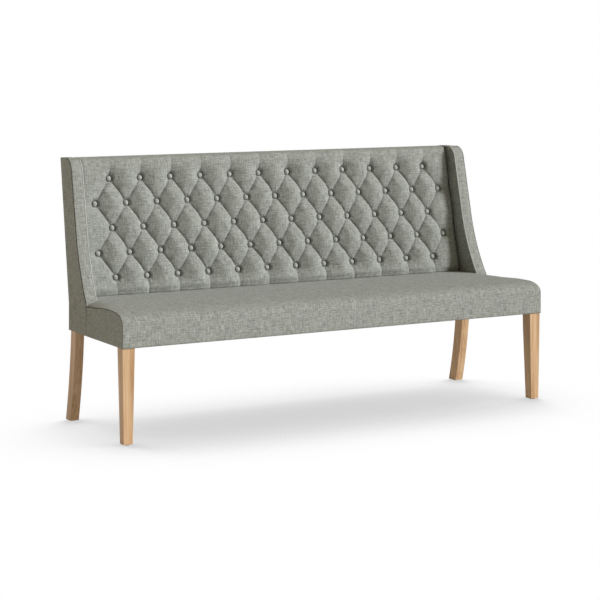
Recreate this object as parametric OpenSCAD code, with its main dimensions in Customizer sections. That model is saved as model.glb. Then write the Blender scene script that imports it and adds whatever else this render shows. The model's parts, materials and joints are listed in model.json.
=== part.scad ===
// Upholstered banquette bench with a button-tufted back, low wings and oak legs.
// Millimetres, Z up, X along the bench, the sitter faces -Y.
// The origin is on the floor, below the middle of the whole bench.
// Inside the modules y is counted from the seat front, and bench() moves it to the origin.
// Depths named d are measured inward from the outer side face.

/* [Overall] */
// Width across the front of the seat
overall_w = 1800; // [1600:10:2000]
// Depth from the seat front to the top of the back
overall_d = 600; // [580:5:640]
// Height of the top of the back
overall_h = 970; // [940:5:1010]
// Height of the underside of the seat box
base_z = 341; // [320:1:360]
// Height of the seat surface
seat_z = 466; // [460:1:475]
// Angle at which the sides draw in towards the back, in degrees
side_taper = 2.5; // [1.5:0.1:3.5]
// Angle at which the sides lean inward, in degrees
side_lean = 1.05; // [0.5:0.05:1.5]

/* [Legs] */
// Size of a front leg under the seat
front_leg_top = 47; // [42:1:50]
// Size of a front leg at the floor
front_leg_foot = 34.5; // [30:0.5:38]
// Width of a rear leg along the bench
rear_leg_w = 34; // [30:1:38]
// Depth of a rear leg from front to back
rear_leg_d = 46; // [40:1:50]
// How far a rear leg stands in from the back of the box
rear_leg_inset = 19; // [16:1:26]
// How far a rear leg sweeps back to the floor
rear_leg_sweep = 53; // [40:1:65]
// How far a leg's shank stands inside the shoulder below it
leg_shank_set = 2; // [1:0.5:3]
// How far a shank reaches into the leg below it
shank_sunk = 10; // [8:1:14]
// Diameter of a floor glide
glide_dia = 22; // [18:1:25]
// Thickness of a floor glide
glide_t = 3; // [2:0.5:4]
// Diameter of the nail of a floor glide
glide_nail_dia = 3; // [2:0.5:4]
// Length of the nail of a floor glide
glide_nail_l = 16; // [12:1:20]

/* [Seat] */
// Depth of the rounded front edge of the seat
roll_d = 80; // [70:1:90]
// Height of the rounded front edge of the seat
roll_h = 38; // [34:1:40]
// How much lower the seat is at its rounded edge than at the back
front_fall = 3.5; // [2:0.5:5]
// How far the seat surface draws down at its side seams
edge_drop = 16; // [10:1:18]
// Width over which the seat draws down to a side seam
edge_roll_w = 60; // [55:1:75]
// Height of the seat rails
rail_h = 78; // [72:1:80]
// Thickness of the front and side seat rails
rail_t = 20; // [18:1:22]
// Thickness of the rear seat rail
rear_rail_t = 22; // [18:1:25]
// Width of a cross rail
cross_rail_w = 20; // [18:1:30]
// How far a cross rail stays below the webbing
cross_rail_drop = 20; // [15:1:30]
// Spacing of the cross rails
cross_rail_pitch = 450; // [400:10:500]
// Size of a corner block along each rail
corner_block_w = 80; // [70:1:90]
// Height of a corner block
corner_block_h = 50; // [40:1:55]
// Width of a webbing strap
strap_w = 60; // [50:5:70]
// Thickness of a webbing strap
strap_t = 1.5; // [1:0.5:2]
// Number of webbing straps
strap_count = 13; // [9:1:15]
// How far the straps and the lining stay inside the frame's outer faces
strap_set = 4; // [3:0.5:6]
// Thickness of the lining cloth on the webbing
lining_t = 1; // [0.5:0.5:1.5]
// Thickness of the dust cover under the seat
dust_t = 1; // [0.5:0.5:1.5]
// Room round a rear leg in the dust cover, for the angle of the side
rear_gap = 3; // [2:0.5:5]
// Spacing of the staples that hold the dust cover
staple_pitch = 120; // [100:5:140]

/* [Cover] */
// Thickness of the fabric with its wadding over the frame
cover_t = 3; // [2:0.5:4]
// Thickness of the fabric border along the edge of a wing
border_t = 4; // [3:0.5:5]

/* [Wings] */
// Thickness of a wing
wing_t = 47; // [44:1:52]
// Thickness of the timber panel in a wing
wing_frame_t = 20; // [18:1:22]
// Depth of a wing from front to back at the height of the bend
wing_d = 116; // [105:1:130]
// Height at which the straight front edge of a wing bends forward
wing_bend_z = 700; // [680:5:740]
// Slope of the straight front edge of a wing, in degrees
wing_rake = 12.1; // [11:0.1:13]
// Radius of the sweep of a wing down to the seat
wing_sweep_r = 740; // [700:10:800]
// Radius of the top front corner of a wing
wing_corner_r = 50; // [40:1:60]
// Distance from the back of the box to the side seam below a wing
wing_foot_d = 174; // [165:1:185]

/* [Back] */
// Height at which the outer back starts to rake
kick_z = 440; // [430:1:450]
// Rake of the outer back, in degrees
outer_rake = 9.4; // [8.5:0.1:9.8]
// Rake of the tufted face, in degrees
tuft_rake = 10.9; // [10.5:0.1:11.5]
// Thickness of the back at the seat, from the outer face to the back pad
back_core_d = 54; // [52:1:60]
// Width of a back post along the bench
post_w = 45; // [40:1:50]
// Thickness of the back pad's foam slab
back_foam_t = 12; // [10:1:14]
// Thickness of the tufting board
board_t = 6; // [4:1:8]
// Height of the back's top rail
top_rail_h = 53; // [45:1:56]
// Height of the back's lower rail
lower_rail_h = 60; // [50:1:65]
// Height of the rail that closes the bottom of the back
bottom_rail_h = 38; // [30:1:45]
// Depth of the rail that closes the bottom of the back
bottom_rail_d = 28; // [22:1:30]
// Width of a centre post
centre_post_w = 30; // [25:1:35]
// Depth of cushion over the top rail
top_pad_t = 12; // [10:1:14]

/* [Tufting] */
// Number of buttons in a long row
long_row = 13; // [9:2:15]
// Number of rows of buttons
rows = 5; // [3:2:5]
// Height of the lowest row above the seat, along the tufted face
first_row_s = 64; // [56:1:72]
// Spacing of the rows
row_pitch = 91.8; // [88:0.1:94]
// Distance from a wing to the nearest button
side_margin = 60; // [54:1:66]
// Height of a puff above the back pad
puff_h = 25; // [20:1:28]
// Depth of the smooth strips beside the wings
side_pad_h = 14; // [10:1:16]
// Cushion thickness left under a pleat
pleat_h = 3; // [2:0.5:4]
// Diameter of a covered button
button_dia = 22; // [18:0.5:24]
// Height of a covered button
button_h = 11; // [8:0.5:12]
// Height of the straight rim of a covered button
button_rim_h = 4; // [2:0.5:5]
// Diameter of the twine that holds a button
tie_dia = 2; // [1.5:0.1:2.5]
// Diameter of a toggle behind the board
toggle_dia = 14; // [10:1:16]
// Thickness of a toggle
toggle_t = 3; // [2:0.5:4]

/* [Fasteners] */
// Diameter of the leg bolts
leg_bolt_dia = 8; // [6:1:8]
// Diameter of the frame bolts
frame_bolt_dia = 6; // [5:1:6]
// Wood left in front of the tip of a bolt
bolt_tip_wall = 5; // [4:1:7]
// Height of the head of a bolt
bolt_head_h = 5; // [4:0.5:6]
// Thickness of a washer
washer_t = 1.5; // [1:0.5:2]
// Diameter of the board screws
screw_dia = 4; // [3:0.5:4.5]
// Length of the board screws
screw_l = 16; // [14:1:18]
// Thickness of the head of a board screw
screw_head_h = 2; // [1.5:0.5:2.5]
// Width of a staple
staple_w = 10; // [8:1:12]
// Thickness of the wire of a staple
staple_t = 0.6; // [0.4:0.1:0.8]

/* [Fits] */
// Gap round a bolt, nail or twine in its hole
hole_gap = 0.3; // [0.2:0.1:0.5]
// Gap between soft pieces
soft_gap = 0.3; // [0.2:0.1:0.4]

/* [Hidden] */

// Overrun of every cut past the face it cuts
over = 20;
oak = "#c9a274";
beech = "#d8bd92";
fabric = "#9a9b91";
foam = "#e9dfb8";
steel = "#9aa0a6";
black_cloth = "#2d2d2d";
round_fn = 48;
button_fn = 32;

// Heights and depths that follow from the sizes above
rail_z0 = base_z + dust_t;
rail_z1 = rail_z0 + rail_h;
foam_z0 = rail_z1 + strap_t + lining_t;
box_back_y = overall_d - (overall_h - kick_z) * tan(outer_rake);
seam_y = box_back_y - wing_foot_d;
pad_y = box_back_y - back_core_d;
rail_in = cover_t + rail_t;
post_in = cover_t + wing_frame_t;
post_out = post_in + post_w;
top_rail_z1 = overall_h - top_pad_t;
foam_d0 = 0;
board_d = -back_foam_t;
post_d = board_d - board_t;

// y of the outer back at a height, a distance e inside it
function rear_y(z, e = 0) = z > kick_z
    ? box_back_y + (z - kick_z) * tan(outer_rake) - e / cos(outer_rake)
    : box_back_y - e;
// Height of the bend of the outer back, a distance e inside it
function kick_at(e) = kick_z + e * tan(outer_rake / 2);
// y of a plane along the tufted face, a distance f in front of the foam slab
function pad_plane(z, f) = pad_y + (z - kick_z) * tan(tuft_rake) - f / cos(tuft_rake);
// x of the right side face at a depth d inward
function side_x(d, y, z) =
    overall_w / 2 - (d + y * sin(side_taper) * cos(side_lean) + (z - base_z) * sin(side_lean))
    / (cos(side_taper) * cos(side_lean));
// An even ramp from 0 to 1
function ramp(t) = let (c = max(0, min(1, t))) c * c * (3 - 2 * c);

// Placing
module bench() { translate([0, -overall_d / 2, 0]) children(); }
module left() { mirror([1, 0, 0]) children(); }
// A y-z outline drawn out along x
module bar(x0, x1) { translate([x0, 0, 0]) rotate([90, 0, 90]) linear_extrude(x1 - x0) children(); }
module whole_bar() { bar(-overall_w / 2 - over, overall_w / 2 + over) children(); }
// The frame of the right side, upright: x is depth inward as a negative number
module side_frame() { translate([overall_w / 2, 0, 0]) rotate([0, 0, side_taper]) children(); }
// The space between two depths from the right side face
module side_slab(d0, d1) {
    side_frame() translate([0, 0, base_z]) rotate([0, -side_lean, 0])
        translate([-d1, -overall_d, -overall_h])
            cube([d1 - d0, 3 * overall_d, 2 * overall_h]);
}
module side_layer(d0, d1) {
    intersection() {
        side_slab(d0, d1);
        bar(0, overall_w / 2 + over) children();
    }
}
// What lies deeper than d from both side faces
module inner(d) {
    intersection() {
        whole_bar() children();
        side_slab(d, overall_w + over);
        left() side_slab(d, overall_w + over);
    }
}
// The tufted face: x along the bench, y backward, z up the slope, the foam slab's face at y = 0
module on_pad() { translate([0, pad_plane(seat_z, 0), seat_z]) rotate([-tuft_rake, 0, 0]) children(); }
// A cylinder along the depth of the tufted face, from f0 to f1 in front of the foam slab
module pin_back(r, f0, f1) {
    translate([0, -f0, 0]) rotate([90, 0, 0]) cylinder(r = r, h = f1 - f0, $fn = round_fn);
}

// Outline of a wing in y and z, drawn in by e at its front and top and by e_rear at the back
wing_bend_y = rear_y(wing_bend_z) - wing_d;
sweep_y0 = wing_bend_y - wing_sweep_r * cos(wing_rake);
sweep_z0 = wing_bend_z + wing_sweep_r * sin(wing_rake);
corner_z0 = overall_h - wing_corner_r;
corner_y0 = wing_bend_y + (corner_z0 - wing_bend_z) * tan(wing_rake) + wing_corner_r / cos(wing_rake);
sweep_steps = 8;
corner_steps = 6;
function sweep_foot(e) = sweep_z0 - sqrt(pow(wing_sweep_r + e, 2) - pow(seam_y + e - sweep_y0, 2));
function sweep_pt(z, e) = [sweep_y0 + sqrt(pow(wing_sweep_r + e, 2) - pow(z - sweep_z0, 2)), z];
function wing_pts(z0, e, e_rear) = concat(
    [[rear_y(z0, e_rear), z0]],
    z0 < kick_z ? [[rear_y(kick_at(e_rear), e_rear), kick_at(e_rear)]] : [],
    [[rear_y(overall_h - e, e_rear), overall_h - e]],
    [for (i = [0 : corner_steps]) let (a = 90 + (wing_rake - 90) * i / corner_steps)
        [corner_y0 - (wing_corner_r - e) * cos(a), corner_z0 + (wing_corner_r - e) * sin(a)]],
    [for (i = [0 : sweep_steps])
        let (top = sweep_z0 - (wing_sweep_r + e) * sin(wing_rake), foot = sweep_foot(e))
        sweep_pt(top + (foot - top) * i / sweep_steps, e)],
    [[seam_y + e, z0]]
);
module wing_shape(z0, e, e_rear) { polygon(wing_pts(z0, e, e_rear)); }
// The band of a wing's outline that its border covers
module wing_band(z0) {
    difference() {
        wing_shape(z0, 0, 0);
        wing_shape(z0 - over, border_t, -over);
    }
}
// The space that a wing takes above the seat rails, with room for soft pieces
module wing_space() {
    side_layer(-over, wing_t + soft_gap)
        translate([seam_y, rail_z1]) square([overall_d, overall_h]);
}
module clear_of_wings() {
    difference() {
        children();
        wing_space();
        left() wing_space();
    }
}

// Legs
module side_box(d0, d1, y0, y1, z0, z1) {
    side_frame() translate([-d1, y0, z0]) cube([d1 - d0, y1 - y0, z1 - z0]);
}
module upright(y0, y1, z0, z1) { translate([y0, z0]) square([y1 - y0, z1 - z0]); }
module glide_hole(d, y) {
    side_frame() translate([-d, y, 0])
        cylinder(d = glide_nail_dia + 2 * hole_gap, h = glide_t + glide_nail_l + hole_gap, $fn = round_fn);
}
front_foot_c = cover_t + front_leg_foot / 2;
rear_y1 = box_back_y - rear_leg_inset;
rear_foot_y = rear_y1 - rear_leg_d / 2 + rear_leg_sweep;
// The rear legs follow the lean of the sides, which takes their feet outward
rear_foot_out = (base_z - glide_t) * tan(side_lean);
rear_foot_d = (cover_t + rear_leg_w / 2) / cos(side_lean) - rear_foot_out;
// Share of the sweep that a rear leg has made at a share t of its way down
curl_share = 0.6;
leg_steps = 10;
function sweep_share(t) = t * (1 - curl_share) + t * t * curl_share;
function rear_leg_edge(y) = [for (i = [0 : leg_steps]) let (t = i / leg_steps)
    [y + rear_leg_sweep * sweep_share(t), rail_z0 - (rail_z0 - glide_t) * t]];
function reversed(list) = [for (i = [len(list) - 1 : -1 : 0]) list[i]];

module front_leg_shape() {
    difference() {
        union() {
            intersection() {
                side_frame() rotate([90, 0, 0]) translate([0, 0, -cover_t - front_leg_top])
                    linear_extrude(front_leg_top) polygon([
                        [-cover_t, glide_t], [-cover_t, rail_z0],
                        [-cover_t - front_leg_top, rail_z0], [-cover_t - front_leg_foot, glide_t]]);
                bar(0, overall_w) polygon([
                    [cover_t, glide_t], [cover_t, rail_z0],
                    [cover_t + front_leg_top, rail_z0], [cover_t + front_leg_foot, glide_t]]);
            }
            side_layer(rail_in, cover_t + front_leg_top - leg_shank_set)
                upright(rail_in, cover_t + front_leg_top - leg_shank_set, rail_z0 - shank_sunk, rail_z1);
        }
        glide_hole(front_foot_c, front_foot_c);
        leg_bolt_place() cylinder(d = leg_bolt_dia + 2 * hole_gap, h = leg_bolt_l, $fn = round_fn);
    }
}
module front_leg_left() { color(oak) bench() left() front_leg_shape(); }
module front_leg_right() { color(oak) bench() front_leg_shape(); }

module rear_leg_shape() {
    difference() {
        union() {
            side_layer(cover_t, cover_t + rear_leg_w) polygon(concat(
                rear_leg_edge(rear_y1), reversed(rear_leg_edge(rear_y1 - rear_leg_d))));
            side_layer(cover_t, post_in)
                upright(rear_y1 - rear_leg_d, rear_y(rail_z0, cover_t), rail_z0, rail_z1);
            side_layer(cover_t + leg_shank_set, post_in - leg_shank_set) upright(
                rear_y1 - rear_leg_d + shank_sunk, rear_y1 - shank_sunk,
                rail_z0 - shank_sunk, rail_z1 - shank_sunk);
        }
        glide_hole(rear_foot_d, rear_foot_y);
        foot_bolt_places() frame_bolt_hole();
    }
}
module rear_leg_left() { color(oak) bench() left() rear_leg_shape(); }
module rear_leg_right() { color(oak) bench() rear_leg_shape(); }

module glide_shape(d, y) {
    side_frame() translate([-d, y, 0]) {
        cylinder(d = glide_dia, h = glide_t, $fn = round_fn);
        cylinder(d = glide_nail_dia, h = glide_t + glide_nail_l, $fn = round_fn);
    }
}
module glide_pair() {
    glide_shape(front_foot_c, front_foot_c);
    glide_shape(rear_foot_d, rear_foot_y);
}
module floor_glides() {
    color(black_cloth) bench() {
        glide_pair();
        left() glide_pair();
    }
}

// Seat frame
rear_rail_y1 = pad_plane(rail_z1, post_d);
module front_seat_rail() {
    color(beech) bench() inner(cover_t) upright(cover_t, rail_in, rail_z0, rail_z1);
}
module rear_seat_rail() {
    color(beech) bench() inner(post_out)
        upright(rear_rail_y1 - rear_rail_t, rear_rail_y1, rail_z0, rail_z1);
}
module side_seat_rail_shape() {
    side_layer(cover_t, rail_in) upright(rail_in, rear_y1 - rear_leg_d, rail_z0, rail_z1);
}
module side_seat_rail_left() { color(beech) bench() left() side_seat_rail_shape(); }
module side_seat_rail_right() { color(beech) bench() side_seat_rail_shape(); }
module cross_rails() {
    color(beech) bench() for (i = [-1 : 1])
        bar(i * cross_rail_pitch - cross_rail_w / 2, i * cross_rail_pitch + cross_rail_w / 2)
            upright(rail_in, rear_rail_y1 - rear_rail_t, rail_z0, rail_z1 - cross_rail_drop);
}

// Corner blocks and the bolts through them into the front legs
block_z = rail_z0 + (rail_h - corner_block_h) / 2;
shank_w = front_leg_top - rail_t - leg_shank_set;
bolt_corner = rail_in + shank_w / 2;
leg_bolt_l = (corner_block_w / 2 - shank_w / 2) * sqrt(2) + shank_w / sqrt(2) - bolt_tip_wall;
module leg_bolt_place() {
    middle = rail_in + corner_block_w / 2;
    side_frame() translate([-middle, middle, rail_z0 + rail_h / 2])
        rotate([0, 0, -45]) rotate([0, 90, 0]) children();
}
module corner_block_shape() {
    difference() {
        intersection() {
            side_slab(rail_in, overall_w / 4);
            translate([0, rail_in, 0]) cube([overall_w / 2, overall_d, overall_h]);
            side_frame() translate([0, 0, block_z]) linear_extrude(corner_block_h) polygon([
                [0, 0], [-rail_in - corner_block_w, 0], [-rail_in - corner_block_w, rail_in],
                [-rail_in, rail_in + corner_block_w], [0, rail_in + corner_block_w]]);
        }
        side_layer(-over, cover_t + front_leg_top - leg_shank_set + hole_gap)
            upright(0, cover_t + front_leg_top - leg_shank_set + hole_gap, 0, overall_h);
        leg_bolt_place() translate([0, 0, -over])
            cylinder(d = leg_bolt_dia + 2 * hole_gap, h = leg_bolt_l + over, $fn = round_fn);
    }
}
module corner_blocks() {
    color(beech) bench() {
        corner_block_shape();
        left() corner_block_shape();
    }
}
module leg_bolt_shape() {
    leg_bolt_place() translate([0, 0, -washer_t]) {
        cylinder(d = leg_bolt_dia, h = leg_bolt_l + washer_t - hole_gap, $fn = round_fn);
        translate([0, 0, -bolt_head_h]) cylinder(d = 2 * leg_bolt_dia, h = bolt_head_h, $fn = 6);
    }
}
module leg_bolts() {
    color(steel) bench() {
        leg_bolt_shape();
        left() leg_bolt_shape();
    }
}
module bolt_washer_shape() {
    leg_bolt_place() translate([0, 0, -washer_t]) difference() {
        cylinder(d = 2.5 * leg_bolt_dia, h = washer_t, $fn = round_fn);
        translate([0, 0, -washer_t])
            cylinder(d = leg_bolt_dia + 2 * hole_gap, h = 3 * washer_t, $fn = round_fn);
    }
}
module bolt_washers() {
    color(steel) bench() {
        bolt_washer_shape();
        left() bolt_washer_shape();
    }
}

// Back posts, and the bolts that hold a rear leg and a wing to each
module post_outline() {
    polygon([
        [pad_plane(rail_z0, post_d), rail_z0], [rear_y(rail_z0, cover_t), rail_z0],
        [rear_y(kick_at(cover_t), cover_t), kick_at(cover_t)],
        [rear_y(top_rail_z1, cover_t), top_rail_z1], [pad_plane(top_rail_z1, post_d), top_rail_z1]]);
}
frame_bolt_l = post_w + wing_frame_t - bolt_tip_wall;
function post_at(z, share) = pad_plane(z, post_d) * (1 - share) + rear_y(z, cover_t) * share;
foot_bolt_z_shares = [0.3, 0.7];
wing_bolt_z_shares = [0.3, 0.85];
wing_bolt_span = top_rail_z1 - rail_z1;
// Shares of the way back through a post at which the bolts stand
foot_bolt_y_share = 0.2;
wing_bolt_y_share = 0.5;
// A place on the inner face of the right post, its z axis running outward
module bolt_on_post(z, y_share) {
    side_frame() translate([0, post_at(z, y_share) + post_mid_shift, base_z]) rotate([0, -side_lean, 0])
        translate([-post_out, 0, z - base_z]) rotate([0, 90, 0]) children();
}
// The side frame turns about the front corner, so a point far back needs this much more y
post_mid_shift = post_in * sin(side_taper);
module foot_bolt_places() {
    for (s = foot_bolt_z_shares) bolt_on_post(rail_z0 + rail_h * s, foot_bolt_y_share) children();
}
module wing_bolt_places() {
    for (s = wing_bolt_z_shares)
        bolt_on_post(rail_z1 + wing_bolt_span * s, wing_bolt_y_share) children();
}
module frame_bolt_hole() {
    translate([0, 0, -over])
        cylinder(d = frame_bolt_dia + 2 * hole_gap, h = frame_bolt_l + over, $fn = round_fn);
}
module frame_bolt_shape() {
    cylinder(d = frame_bolt_dia, h = frame_bolt_l - hole_gap, $fn = round_fn);
    translate([0, 0, -bolt_head_h]) cylinder(d = 2 * frame_bolt_dia, h = bolt_head_h, $fn = 6);
}
module frame_bolts() {
    color(steel) bench() {
        foot_bolt_places() frame_bolt_shape();
        wing_bolt_places() frame_bolt_shape();
        left() {
            foot_bolt_places() frame_bolt_shape();
            wing_bolt_places() frame_bolt_shape();
        }
    }
}
module back_post_shape() {
    difference() {
        side_layer(post_in, post_out) post_outline();
        foot_bolt_places() frame_bolt_hole();
        wing_bolt_places() frame_bolt_hole();
        screw_places_post() screw_hole();
    }
}
module back_post_left() { color(beech) bench() left() back_post_shape(); }
module back_post_right() { color(beech) bench() back_post_shape(); }

// Back rails
module back_slice(z0, z1) {
    polygon([
        [pad_plane(z0, post_d), z0], [rear_y(z0, cover_t), z0],
        [rear_y(z1, cover_t), z1], [pad_plane(z1, post_d), z1]]);
}
board_z0 = rail_z1 + strap_t;
lower_rail_z0 = kick_z;
module back_top_rail() {
    color(beech) bench() difference() {
        inner(post_out) back_slice(top_rail_z1 - top_rail_h, top_rail_z1);
        screw_places_rails() screw_hole();
    }
}
module back_lower_rail() {
    color(beech) bench() difference() {
        inner(post_out) back_slice(lower_rail_z0, lower_rail_z0 + lower_rail_h);
        screw_places_rails() screw_hole();
    }
}
module back_bottom_rail() {
    color(beech) bench() inner(post_out)
        upright(rear_y(rail_z0, cover_t) - bottom_rail_d, rear_y(rail_z0, cover_t),
            rail_z0, rail_z0 + bottom_rail_h);
}
module back_centre_posts() {
    color(beech) bench() for (s = [-1, 1])
        translate([s * centre_post_x, 0, 0]) bar(-centre_post_w / 2, centre_post_w / 2)
            back_slice(lower_rail_z0 + lower_rail_h, top_rail_z1 - top_rail_h);
}

// Wings
module wing_frame_shape() {
    difference() {
        side_layer(cover_t, post_in) wing_shape(rail_z1, border_t, cover_t);
        wing_bolt_places() frame_bolt_hole();
    }
}
module wing_frame_left() { color(beech) bench() left() wing_frame_shape(); }
module wing_frame_right() { color(beech) bench() wing_frame_shape(); }
module wing_pad_shape() {
    side_layer(post_in, wing_t) intersection() {
        wing_shape(rail_z1, border_t, cover_t);
        polygon([
            [0, rail_z1], [pad_plane(rail_z1, post_d), rail_z1],
            [pad_plane(overall_h, post_d), overall_h], [0, overall_h]]);
    }
}
module wing_pad_left() { color(fabric) bench() left() wing_pad_shape(); }
module wing_pad_right() { color(fabric) bench() wing_pad_shape(); }
module wing_border_shape() {
    side_layer(0, cover_t) wing_band(base_z);
    side_layer(cover_t, wing_t) wing_band(rail_z1);
}
module wing_border_left() { color(fabric) bench() left() wing_border_shape(); }
module wing_border_right() { color(fabric) bench() wing_border_shape(); }
module outer_side_panel_shape() { side_layer(0, cover_t) wing_shape(base_z, border_t, 0); }
module outer_side_panel_left() { color(fabric) bench() left() outer_side_panel_shape(); }
module outer_side_panel_right() { color(fabric) bench() outer_side_panel_shape(); }
module outer_back_panel() {
    color(fabric) bench() difference() {
        inner(cover_t) polygon([
            [rear_y(base_z, cover_t), base_z], [rear_y(base_z), base_z], [rear_y(kick_z), kick_z],
            [rear_y(overall_h - border_t), overall_h - border_t],
            [rear_y(overall_h - border_t, cover_t), overall_h - border_t],
            [rear_y(kick_at(cover_t), cover_t), kick_at(cover_t)]]);
        inner(wing_t) upright(0, overall_d + over, top_rail_z1, overall_h + over);
    }
}

// Tufting pattern: x positions and rows up the tufted face
last_row_s = first_row_s + (rows - 1) * row_pitch;
// Half width of the buttoned field at s: it follows the wings, which lean inward
function field_half(s) = side_x(wing_t, pad_plane(seat_z, 0) + s * sin(tuft_rake),
    seat_z + s * cos(tuft_rake)) - side_margin;
tuft_dx = 2 * field_half(last_row_s) / (long_row - 1);
function spread(s) = field_half(s) / field_half(last_row_s);
// The centre posts stand this many button spacings from the middle
centre_post_share = 2.25;
centre_post_x = centre_post_share * tuft_dx;
function row_count(j) = long_row - 1 + (j % 2);
function tuft_x(j, i) = (i - (row_count(j) - 1) / 2) * tuft_dx * spread(row_s(j));
function row_s(j) = first_row_s + j * row_pitch;
module at_buttons() {
    for (j = [0 : rows - 1], i = [0 : row_count(j) - 1])
        on_pad() translate([tuft_x(j, i), 0, row_s(j)]) children();
}
// Screws that hold the board to the posts, midway between the rows of buttons
board_top_s = (top_rail_z1 - seat_z) / cos(tuft_rake);
screw_in = wing_t + (post_out - wing_t) / 2;
module screw_places_post() {
    for (j = [0 : rows - 2]) let (
        s = row_s(j) + row_pitch / 2,
        z = seat_z + s * cos(tuft_rake), y = pad_plane(z, 0))
        translate([side_x(screw_in, y, z), y, z]) rotate([-tuft_rake, 0, 0]) children();
}
rail_screw_z = [lower_rail_z0 + lower_rail_h / 2, top_rail_z1 - top_rail_h / 2];
module screw_places_rails() {
    for (z = rail_screw_z, i = [-2 : 2])
        translate([i * 2 * tuft_dx, pad_plane(z, 0), z]) rotate([-tuft_rake, 0, 0]) children();
}
module screw_hole() { pin_back(screw_dia / 2 + hole_gap, board_d - screw_l - hole_gap, foam_d0); }
module screw_shape() {
    pin_back(screw_dia / 2, board_d - screw_l, board_d);
    pin_back(screw_dia, board_d - screw_head_h, board_d);
}
module all_screw_places() {
    screw_places_post() children();
    left() screw_places_post() children();
    screw_places_rails() children();
}
module board_screws() { color(steel) bench() all_screw_places() screw_shape(); }

// The layers of the back, from f0 to f1 in front of the foam slab
module pad_layer(z0, f0, f1) {
    inner(wing_t + soft_gap) polygon([
        [pad_plane(z0, f1), z0], [pad_plane(z0, f0), z0],
        [pad_plane(top_rail_z1, f0), top_rail_z1], [pad_plane(top_rail_z1, f1), top_rail_z1]]);
}
module tufting_board() {
    color("#c8a877") bench() difference() {
        pad_layer(board_z0, post_d, board_d);
        at_buttons() pin_back(tie_dia / 2 + hole_gap, post_d - over, foam_d0);
        all_screw_places() {
            pin_back(screw_dia / 2 + hole_gap, post_d - over, foam_d0);
            pin_back(screw_dia + hole_gap, board_d - screw_head_h, foam_d0);
        }
    }
}
pad_z0 = seat_z + soft_gap;
module back_foam() {
    color(foam) bench() difference() {
        pad_layer(pad_z0, board_d, foam_d0);
        at_buttons() pin_back(tie_dia / 2 + hole_gap, board_d - over, over);
    }
}
module tuft_buttons() {
    color(fabric) bench() at_buttons() rotate([90, 0, 0]) {
        cap_h = button_h - button_rim_h;
        cap_r = (pow(button_dia / 2, 2) + pow(cap_h, 2)) / (2 * cap_h);
        intersection() {
            cylinder(d = button_dia, h = button_h, $fn = button_fn);
            translate([0, 0, button_h - cap_r]) sphere(cap_r, $fn = button_fn);
        }
    }
}
module button_ties() {
    color("#e6e0cf") bench() at_buttons() {
        pin_back(tie_dia / 2, post_d - toggle_t - tie_dia, 0);
        pin_back(tie_dia, post_d - toggle_t - tie_dia, post_d - toggle_t);
    }
}
module button_toggles() {
    color("#5a5a5a") bench() at_buttons() difference() {
        pin_back(toggle_dia / 2, post_d - toggle_t, post_d);
        pin_back(tie_dia / 2 + hole_gap, post_d - over, over);
    }
}

// A closed skin through rings of points, capped by fans about the ring point numbered hub
function flat(lists) = [for (l = lists) each l];
module loft(rings, hub) {
    n = len(rings[0]);
    m = len(rings);
    sides = [for (i = [0 : m - 2], k = [0 : n - 1]) let (a = i * n, b = a + n, k1 = (k + 1) % n)
        each [[a + k, b + k, b + k1], [a + k, b + k1, a + k1]]];
    caps = [for (k = [0 : n - 2]) let (p = (hub + k) % n, q = (hub + k + 1) % n)
        if (p != hub && q != hub) let (e = (m - 1) * n)
            each [[hub, p, q], [hub + e, q + e, p + e]]];
    polyhedron(points = flat(rings), faces = concat(sides, caps), convexity = 6);
}
// A sheet between two grids of points that share their edges' order
module sheet(outer, inner_side) {
    n = len(outer[0]);
    m = len(outer);
    both = [for (i = [0 : m - 1]) concat(outer[i], reversed(inner_side[i]))];
    ring = 2 * n;
    sides = [for (i = [0 : m - 2], k = [0 : ring - 1]) let (a = i * ring, b = a + ring, k1 = (k + 1) % ring)
        each [[a + k, b + k, b + k1], [a + k, b + k1, a + k1]]];
    caps = [for (k = [0 : n - 2]) let (far = ring - 1 - k, e = (m - 1) * ring)
        each [[k, k + 1, far], [k + 1, far - 1, far],
              [e + k, e + far, e + k + 1], [e + k + 1, e + far, e + far - 1]]];
    polyhedron(points = flat(both), faces = concat(sides, caps), convexity = 6);
}

// The tufted surface: height above the foam slab at x and s
function puff(x, s) =
    let (a = x / tuft_dx + 0.5, b = (s - first_row_s) / (2 * row_pitch),
         u = abs(sin(180 * (a + b))), v = abs(sin(180 * (a - b))),
         off_button = 1 - pow((1 - u * u) * (1 - v * v), 0.5))
    pleat_h + (puff_h - pleat_h) * (crease_share * off_button + (1 - crease_share) * sqrt(u * v));
// Share of a puff's height that the pleats between two buttons keep
crease_share = 0.4;
// Height over the vertical pleats above the top row and below the lowest one
function pleated(x, reach) =
    let (p = abs(cos(180 * x / tuft_dx)))
    pleat_h + (puff_h - pleat_h) * (crease_share * reach + (1 - crease_share * reach) * sqrt(p));
// Half width inside the zigzag of the end buttons, at the top row's spacing
function field_x(s) =
    let (t = abs(((s - first_row_s) / row_pitch + 2) % 2 - 1))
    (long_row - 2 + (1 - t)) / 2 * tuft_dx;
function tuft_height(x, s) =
    let (ax = abs(x), edge = field_x(max(first_row_s, min(last_row_s, s))),
         near = min(ax, edge),
         up = max(0, (s - last_row_s) / (board_top_s - last_row_s)),
         down = max(0, (first_row_s - s) / first_row_s),
         field = up > 0 ? pleated(near, ramp(2 * up))
               : down > 0 ? pleated(near, ramp(2 * down)) : puff(near, s))
    ax > edge ? field + (side_pad_h - field) * ramp((ax - edge) / (side_margin * side_ramp_share)) : field;
cushion_top_s = (overall_h - seat_z - top_pad_t / 3) / cos(tuft_rake);
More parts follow.
